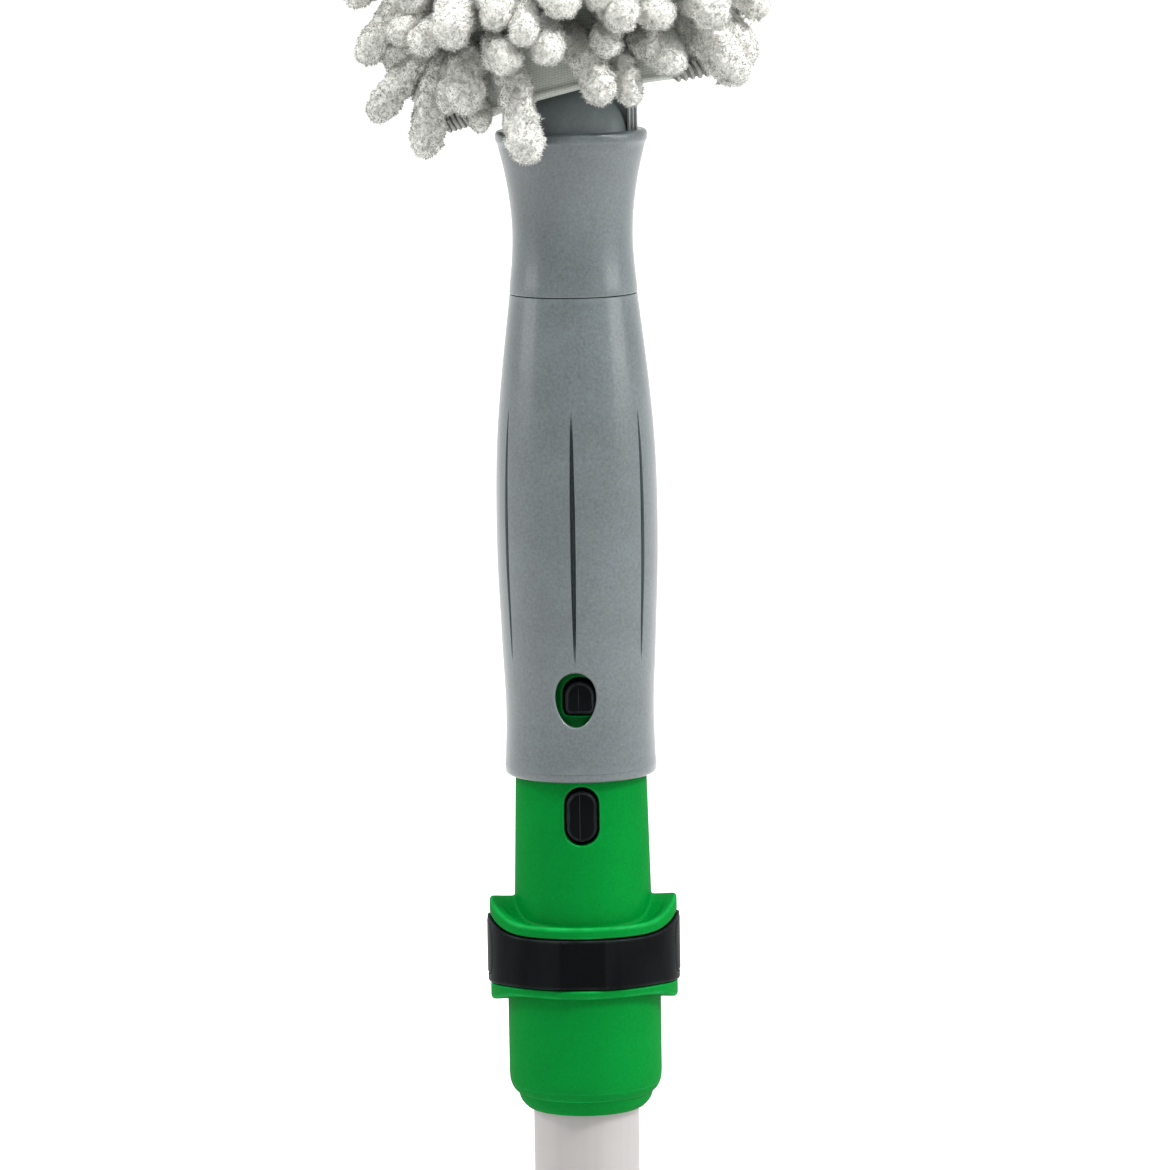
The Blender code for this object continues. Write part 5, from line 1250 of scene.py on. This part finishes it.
def lumpy(*waves):
    """Soft lumps about a size apart: for each (size, depth, seed), the depth times twice the mean of twelve
    sines across seeded ways."""
    kinds = []
    for size, depth, seed in waves:
        chance = np.random.default_rng(seed)
        ways = unit(chance.normal(size=(12, 3))) * chance.uniform(0.7, 1.6, (12, 1)) * math.tau / size
        kinds.append((ways, chance.uniform(0, math.tau, 12), depth / 6))
    return lambda place: sum(depth * np.sin(place @ ways.T + phases).sum(-1) for ways, phases, depth in kinds)


def finger_surface(t, turn, lie, pile, lumps):
    """Points on fingers at shares t of their length and angles round them, and the way out there: the radius
    swells from 0.8 at the root, lumps ride on it, and the last radius of length is a half ball."""
    path, heading, side = lie(t, pile)
    lift = unit(np.cross(side[:, None], heading))
    across = np.cross(lift, heading)
    ring = across * np.cos(turn)[..., None] + lift * np.sin(turn)[..., None]
    radius = pile["radius"][:, None]
    ball = radius / pile["length"][:, None]
    past = np.clip((t - 1 + ball) / ball, 0, 1)
    wide = radius * np.sqrt(1 - past**2) * (0.80 + 0.20 * np.minimum(1, t / 0.4))
    wide = wide * (1 + lumps(path + ring * radius[..., None]))
    return path + ring * wide[..., None], ring * np.sqrt(1 - past**2)[..., None] + heading * past[..., None]


def finger_skins(sides, body_rings, ball_turns, lie, pile, lumps):
    """Closed skins for many fingers at once: rings along each, closer on the ball, a pole and a flat root."""
    count = len(pile["radius"])
    ball = (pile["radius"] / pile["length"])[:, None]
    body = (1 - ball) * np.linspace(0, 1, body_rings, endpoint=False)
    rounded = 1 - ball * (1 - np.sin(np.radians(ball_turns)))
    t = np.concatenate([body, rounded], 1)
    rings = t.shape[1]
    turn = np.broadcast_to(np.tile(math.tau * np.arange(sides) / sides, rings), (count, rings * sides))
    points, _ = finger_surface(np.repeat(t, sides, 1), turn, lie, pile, lumps)
    points = np.concatenate([points, lie(np.ones((count, 1)), pile)[0]], 1)
    quads = grid_faces(rings, sides).reshape(-1, 4)
    last = (rings - 1) * sides + np.arange(sides)
    cap = np.stack([last, np.roll(last, -1), np.full(sides, rings * sides)], -1)
    base = np.arange(sides)[::-1][None]
    offset = (np.arange(count) * points.shape[1])[:, None, None]
    faces = [(kind[None] + offset).reshape(-1, kind.shape[1]) for kind in (quads, cap, base)]
    return points.reshape(-1, 3), faces


def nap(kind, seed, lie, pile, lumps):
    """The short fibres of the pile, of a kind (number to the square metre, lengths, half width): slim closed
    spikes, three points round a root under the skin and one tip, strewn evenly over the fingers and leaning
    every way a little. Also gives each point's tone: painted shade darkens the root, and the tip is lighter by
    a chance amount."""
    density, lengths, half_width = kind
    chance = np.random.default_rng(seed)
    area = math.tau * pile["radius"] * pile["length"]
    count = int(density * area.sum())
    which = chance.choice(len(area), count, p=area / area.sum())
    some = {key: value[which] for key, value in pile.items()}
    t = chance.uniform(0.03, 0.998, (count, 1))
    turn = chance.uniform(0, math.tau, (count, 1))
    place, out = [part[:, 0] for part in finger_surface(t, turn, lie, some, lumps)]
    heading = lie(t, some)[1][:, 0]
    way = unit(out + heading * NAP_SLANT + chance.normal(0, NAP_SCATTER, out.shape))
    across = unit(np.cross(way, chance.normal(size=way.shape)))
    lift = np.cross(way, across)
    corners = []
    for angle in (0, math.tau / 3, 2 * math.tau / 3):
        aside = across * math.cos(angle) + lift * math.sin(angle)
        corners.append(place - way * NAP_ROOT + aside * half_width)
    tip = place + way * chance.uniform(*lengths, (count, 1))
    points = np.stack(corners + [tip], 1).reshape(-1, 3)
    tones = np.full((count, 4), PAINTED_ROOT_SHADE)
    tones[:, 3] = chance.uniform(*TIP_TONES, count)
    sides = np.array([[0, 1, 3], [1, 2, 3], [2, 0, 3], [2, 1, 0]])
    offset = 4 * np.arange(count)[:, None, None]
    return points, [(sides[None] + offset).reshape(-1, 3)], tones.ravel()


def finger_places():
    """Roots, ways out, lengths, droops, leans and radii of the fingers: rows up the tube, every other one
    shifted by half a column, with a seeded scatter, and a few more that stand up from the crown."""
    chance = np.random.default_rng(PLACE_SEED)
    rows = np.arange(MOUTH_MIDDLE + 0.006, SLEEVE_TOP + 0.001, FINGER_ROW)
    row, column = np.meshgrid(np.arange(len(rows)), np.arange(FINGER_COLUMNS), indexing="ij")
    share = (column + 0.5 * (row % 2) + chance.uniform(-0.16, 0.16, row.shape)) / FINGER_COLUMNS
    height = rows[row] + chance.uniform(-0.0012, 0.0012, row.shape)
    share, height = share.ravel(), height.ravel()
    place, out = flat_tube(share, SLEEVE_WIDTH, sleeve_depth(height))
    slant = np.clip(1 - (height - MOUTH_MIDDLE) / 0.03, 0, 1)
    height = height + slant * (mouth_height(place[:, 0]) - MOUTH_MIDDLE)
    kept = ~((height < LAID_REGION[0]) & (place[:, 1] < LAID_REGION[1]))
    kept &= ~((place[:, 0] < BARE_CORNER[0]) & (height < BARE_CORNER[1]) & (place[:, 1] < BARE_CORNER[2]))
    place, out, height = place[kept], out[kept], height[kept]
    crown_share = (np.arange(CROWN_FINGERS) + chance.uniform(-0.2, 0.2, CROWN_FINGERS)) / CROWN_FINGERS
    crown_width, crown_depth = SLEEVE_WIDTH * CROWN_PLACE[0], SLEEVE_DEPTHS[1] * CROWN_PLACE[1]
    crown_place, crown_out = flat_tube(crown_share, crown_width, crown_depth)
    place = np.concatenate([place, crown_place])
    out = np.concatenate([out, crown_out])
    height = np.append(height, np.full(CROWN_FINGERS, SLEEVE_TOP + CROWN_RISE / 2))
    up = np.clip((height - MOUTH_MIDDLE) / (SLEEVE_TOP - MOUTH_MIDDLE), 0, 1)
    share_up, degrees = np.array(DROOPS).T
    droop = np.interp(up, share_up, degrees) + chance.uniform(-DROOP_SCATTER, DROOP_SCATTER, len(up))
    droop[-CROWN_FINGERS:] = chance.uniform(*CROWN_DROOPS, CROWN_FINGERS)
    length = chance.uniform(*FINGER_LENGTHS, len(up))
    length *= np.where(height < LAID_REGION[0], MOUTH_SHARE, 1)
    length[-CROWN_FINGERS:] *= CROWN_SHARE
    return {
        "root": np.column_stack([place - out * ROOT_SINK, height]),
        "out": np.column_stack([out, np.zeros(len(up))]),
        "length": length,
        "droop": np.radians(droop),
        "lean": np.radians(chance.uniform(-LEAN_SCATTER, LEAN_SCATTER, len(up))),
        "radius": chance.uniform(*FINGER_RADII, len(up)),
    }


# Knit: wales and courses on the tube's own (round, up) places, and a paler bound edge along the mouth
knitted, given, made, calc = shader_group(
    "knit_weave", ("Colour", "Wale", "Course", "Bound Edge"), ("Colour", "Height")
)
cloth = shader_node(knitted, "ShaderNodeUVMap", {"uv_map": "cloth_place"}).outputs[0]
ways = shader_node(knitted, "ShaderNodeSeparateXYZ", Vector=cloth).outputs
wale = calc("ABSOLUTE", calc("SINE", calc("MULTIPLY", ways[0], given["Wale"])))
course = calc("MULTIPLY_ADD", ways[1], given["Course"], calc("MULTIPLY", wale, 1.4))
course = calc("MULTIPLY_ADD", calc("SINE", course), 0.5, 0.5)
stitch = calc("MULTIPLY", calc("POWER", wale, 0.6), course)
place = shader_node(knitted, "ShaderNodeTexCoord").outputs["Object"]
fuzz = noise(knitted, place, 2900.0, 3.0, 0.7)
weave = calc("ADD", calc("MULTIPLY", stitch, 0.6), calc("MULTIPLY", fuzz, 1.1))
bound = calc("LESS_THAN", ways[1], given["Bound Edge"])
tone = calc("MULTIPLY_ADD", bound, 0.22, spread(knitted, weave, 0.55, 1.12))
knitted.links.new(tinted(knitted, given["Colour"], tone), made["Colour"])
knitted.links.new(weave, made["Height"])

# Pile: fibre noise at a third of a millimetre, clumps at one, a slow drift, and each fibre's own tone, which
# paints shade at the fibre roots and on the skin under the nap
piled, given, made, calc = shader_group("chenille_pile", ("Colour", "Contrast"), ("Colour", "Height"))
place = shader_node(piled, "ShaderNodeTexCoord").outputs["Object"]
fibre = noise(piled, place, 2900.0, 2.0, 0.7)
clump = noise(piled, place, 950.0, 3.0, 0.65)
drift = noise(piled, place, 70.0, 2.0, 0.5)
mixed = calc("MULTIPLY_ADD", clump, 0.9, calc("MULTIPLY", fibre, 0.8))
mixed = calc("MULTIPLY_ADD", drift, 0.3, mixed)
away = calc("MULTIPLY_ADD", calc("SUBTRACT", mixed, 1.0), given["Contrast"], 1.0)
# Each point's own tone: painted shade at the fibre roots and on the skin, chance tone at the tips
own_tone_and_shade = shader_node(piled, "ShaderNodeAttribute", {"attribute_name": "pile_tone_and_shade"}).outputs["Fac"]
tone = calc("MAXIMUM", calc("MULTIPLY", away, own_tone_and_shade), 0.08)
piled.links.new(tinted(piled, given["Colour"], tone), made["Colour"])
piled.links.new(calc("MULTIPLY_ADD", clump, 2.0, fibre), made["Height"])

chenille = group_material(
    "chenille", piled, CHENILLE, roughness=0.95, depth=0.0002, group_values={"Contrast": 1.25},
    Specular_IOR_Level=0.1, Sheen_Weight=0.2,
)
stitches = {"Wale": math.pi / WALE_PITCH, "Course": math.tau / COURSE_PITCH, "Bound Edge": BOUND_EDGE}
knit = group_material(
    "knit", knitted, KNIT, roughness=0.95, depth=0.00008, group_values=stitches, Specular_IOR_Level=0.1
)


def pile_mesh(name, cloth, *piles):
    """A mesh of knitted backing and the (points, faces, tone) piles on it. The backing's own places become a
    UV map, and a tone for each point, which carries the pile's painted shade, an attribute."""
    parts = [part[:2] for part in (cloth, *piles) if part]
    mesh = mesh_from(name, *together(*parts))
    mesh.materials.append(chenille)
    cloth_points, cloth_faces = (len(cloth[0]), len(cloth[1])) if cloth else (0, 0)
    tones = [np.ones(cloth_points)] + [np.broadcast_to(tone, len(points)) for points, _, tone in piles]
    layer = mesh.attributes.new("pile_tone_and_shade", "FLOAT", "POINT")
    layer.data.foreach_set("value", np.concatenate(tones).astype(np.float32))
    if cloth:
        mesh.materials.append(knit)
        corner = np.empty(len(mesh.loops), np.int32)
        mesh.loops.foreach_get("vertex_index", corner)
        places = np.zeros((len(mesh.vertices), 2))
        places[:cloth_points] = cloth[2]
        layer = mesh.uv_layers.new(name="cloth_place")
        layer.uv.foreach_set("vector", places[corner].astype(np.float32).ravel())
        kind = np.zeros(len(mesh.polygons), np.int32)
        kind[:cloth_faces] = 1
        mesh.polygons.foreach_set("material_index", kind)
        work = bmesh.new()
        work.from_mesh(mesh)
        work.verts.ensure_lookup_table()
        bmesh.ops.remove_doubles(work, verts=work.verts[:cloth_points], dist=2e-6)
        work.to_mesh(mesh)
        work.free()
    mesh.shade_smooth()
    return mesh


every = finger_places()
soft_lumps = lumpy(*SOFT_WAVES)
share = (np.arange(BACKING_COLUMNS) + 0.5) / BACKING_COLUMNS
mouth_edge = mouth_height(flat_tube(share, SLEEVE_WIDTH, SLEEVE_DEPTHS[0])[0][:, 0])
edges = [mouth_edge] + [FIRST_HINGE + HINGE_PITCH * (k - 0.5) for k in range(HINGES + 1)] + [SLEEVE_TOP]
for k in range(HINGES + 2):
    low, high = edges[k], edges[k + 1]
    at = every["root"][:, 2]
    own = (at >= (0 if k == 0 else low)) & (at < (high if k <= HINGES else 1))
    some = {key: value[own] for key, value in every.items()}
    sleeve = pile_mesh(
        "sleeve_mouth" if k == 0 else "sleeve_crown" if k > HINGES else f"sleeve_bend_{k}",
        backing(low, high, k == 0, k > HINGES),
        (*finger_skins(*COARSE_RINGS, drooping, some, soft_lumps), PAINTED_SKIN_SHADE),
        nap(COARSE_NAP, COARSE_SEED + k, drooping, some, soft_lumps),
    )
    body = "pole" if k == 0 else "head_6" if k > HINGES else None
    stands_for = "duster_sleeve_1" if k == 0 else f"duster_sleeve_{min(k, HINGES) + 1}"
    piece = dress(sleeve, body, "chenille", chenille, stands_for)
    if 1 <= k <= HINGES:
        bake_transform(piece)

# Mouth fingers
# The fingers that show round the front of the sleeve's mouth, of the same soft microfibre as the rest.
# They are sewn to the knit and laid here one by one, with a denser and finer nap.

KNEE_SHARE, KNEE_LIFT = 0.45, (0, -0.10, 0.16)
FINE_RINGS = (30, 18, (0, 12, 24, 36, 47, 57, 67, 77))
FINE_NAP, FINE_SEED = (8.5e6, (0.00035, 0.00090), 0.00010), 40
LAID_WAVES = ((0.0055, 0.16, 7), (0.0030, 0.16, 8), (0.0013, 0.09, 9))

# The fingers laid round the front of the mouth, in millimetres: root, middle of the ball at the tip, radius
LAID_FINGERS = (
    ((-35.5, -3, 491), (-43, -8, 487.5), 3.1),
    ((-26, -8, 490), (-31.5, -14, 486), 3.4),
    ((-28, -6, 490), (-40.5, -10, 476.5), 3.6),
    ((-24, -11, 482), (-29.5, -19, 478.5), 3.4),
    ((-21.5, -12, 488.5), (-23.5, -26, 481), 4.2),
    ((-15.5, -12.5, 489.5), (-14.5, -27, 484), 3.6),
    ((-10, -12.5, 484), (-9, -29, 480.5), 3.4),
    ((-13.5, -12.5, 478), (-13.5, -27, 475.5), 3.9),
    ((-5.5, -12.5, 480), (-4.5, -28, 477), 3.7),
    ((-25.5, -8, 477.5), (-38.5, -12, 464.5), 3.3),
    ((-26, -10, 475), (-29.5, -13, 457.5), 3.5),
    ((-20.5, -12, 476), (-21, -19, 467), 4.0),
    ((-19.5, -11, 467), (-18.5, -13.5, 462), 2.8),
    ((-13, -12.5, 475), (-9, -22, 457), 3.8),
    ((-2, -12.5, 488), (-1.5, -28, 486.5), 3.7),
    ((7.5, -12.5, 487.5), (10.5, -27, 483.5), 3.8),
    ((6, -12.5, 490), (6.5, -26, 487.5), 3.6),
    ((7.5, -12.5, 480), (7.5, -22, 477.5), 3.3),
    ((14.5, -12.5, 486), (17.5, -24, 484), 4.0),
    ((0.5, -12.5, 478.5), (6, -22, 468.5), 3.7),
    ((9.5, -12.5, 475), (12, -17, 467.5), 3.3),
    ((13.5, -12.5, 477), (20.5, -19, 474), 3.6),
    ((24, -9, 481.5), (33, -14, 472), 4.3),
    ((27.5, -5, 485), (35, -8, 475), 3.9),
    ((24.5, -9, 487), (28.5, -22, 484), 4.2),
    ((28.5, -5, 488), (38, -10, 484.5), 3.4),
    ((-27, -9, 484), (-34, -15, 480.5), 3.3),
    ((-27, -6, 483), (-35, -10, 475), 3.5),
    ((-23.5, -11, 474), (-25, -15, 466), 3.0),
)


def hand_laid(t, pile):
    """Places and headings along the listed fingers: parabolas (1-t)^2 root + 2t(1-t) knee + t^2 end. The
    knee lies over the straight way and out from the sleeve, and the end is a radius past the tip's middle."""
    chord = pile["tip"] - pile["root"]
    far = np.linalg.norm(chord, axis=1, keepdims=True)
    knee = pile["root"] + chord * KNEE_SHARE + far * np.array(KNEE_LIFT)
    end = pile["tip"] + unit(pile["tip"] - knee) * pile["radius"][:, None]
    a, b, c, t = pile["root"][:, None], knee[:, None], end[:, None], t[..., None]
    path = (1 - t) ** 2 * a + 2 * t * (1 - t) * b + t**2 * c
    return path, unit((1 - t) * (b - a) + t * (c - b)), unit(np.cross(chord, [0, 0, 1.0]))


laid = {"root": [row[0] for row in LAID_FINGERS], "tip": [row[1] for row in LAID_FINGERS]}
laid = {key: np.array(value) / 1000 for key, value in laid.items()}
laid["radius"] = np.array([row[2] for row in LAID_FINGERS]) / 1000 - FINE_NAP[1][0]
trail = hand_laid(np.broadcast_to(np.linspace(0, 1, 9), (len(LAID_FINGERS), 9)), laid)[0]
laid["length"] = np.linalg.norm(np.diff(trail, axis=1), axis=2).sum(1)
laid_lumps = lumpy(*LAID_WAVES)
half = len(LAID_FINGERS) // 2
for name, own in (("mouth_fingers_left", slice(0, half)), ("mouth_fingers_right", slice(half, None))):
    some = {key: value[own] for key, value in laid.items()}
    skins = finger_skins(*FINE_RINGS, hand_laid, some, laid_lumps)
    fibres = nap(FINE_NAP, FINE_SEED, hand_laid, some, laid_lumps)
    dress(pile_mesh(name, None, (*skins, PAINTED_SKIN_SHADE), fibres), "pole", "chenille", chenille)

# Side seam
# The sleeve's side seam comes out at the hem on either side: a short flat roll of cloth, bound with
# overlocked thread that is sewn round it in slanting loops.

# Where the bound ends start and stop, in millimetres, and how many stitches show on each
SEAM_ENDS = {
    "right": ((21.0, -12.4, 470.9), (27.4, -9.8, 471.8), 5),
    "left": ((-25.4, -11.0, 461.2), (-21.0, -12.5, 462.5), 5),
}
SEAM_ROLL, SEAM_LEAN, SEAM_THREAD = (0.0010, 0.0018), -0.0009, 0.00036
ROLL_FILL = 0.86
ROLL_STATIONS = ((0, 0.001), (0, 0.7), (0.04, 0.95), (0.15, 1), (0.85, 1), (0.96, 0.95), (1, 0.7), (1, 0.001))
THREAD_TONE, ROLL_TONE = 0.55, 0.26


def overlocked(start, end, stitches):
    """The bound end of the side seam at the hem: a flat roll of cloth from start to end, and closed loops of
    thread leaning round it. A loop is the ellipse (out cos a, up sin a), sheared along the seam by its
    height."""
    start, end = np.array(start) / 1000, np.array(end) / 1000
    along = unit(end - start)
    out = unit(np.cross(along, [0, 0, 1.0])) * SEAM_ROLL[0]
    up = np.array([0, 0, SEAM_ROLL[1]])
    turn = math.tau * np.arange(20) / 20
    ellipse = out * np.cos(turn)[:, None] + up * np.sin(turn)[:, None]
    shares, swell = np.array(ROLL_STATIONS).T[..., None, None]
    roll = start + (end - start) * shares + ellipse * swell * ROLL_FILL
    loops = []
    for middle in np.linspace(0.04, 0.96, stitches):
        lean = along * (np.sin(turn) * SEAM_LEAN)[:, None]
        path = start + (end - start) * middle + ellipse + lean
        heading = unit(np.roll(path, -1, 0) - np.roll(path, 1, 0))
        side = unit(np.cross(heading, along))
        top = np.cross(heading, side)
        ring = math.tau * np.arange(6)[:, None] / 6
        tube = path[:, None] + SEAM_THREAD * (side[:, None] * np.cos(ring) + top[:, None] * np.sin(ring))
        loops.append((tube.reshape(-1, 3), grid_faces(len(turn), len(ring), True, True).reshape(-1, 4)))
    roll_part = (roll.reshape(-1, 3), grid_faces(len(roll), len(turn)).reshape(-1, 4))
    points, faces = together(roll_part, *loops)
    tones = np.full(len(points), THREAD_TONE)
    tones[: len(roll_part[0])] = ROLL_TONE
    return points, faces, tones


for word, (start, end, stitches) in SEAM_ENDS.items():
    seam = pile_mesh(f"seam_end_{word}", None, overlocked(start, end, stitches))
    dress(close_up(seam, 60), "pole", "chenille", chenille)
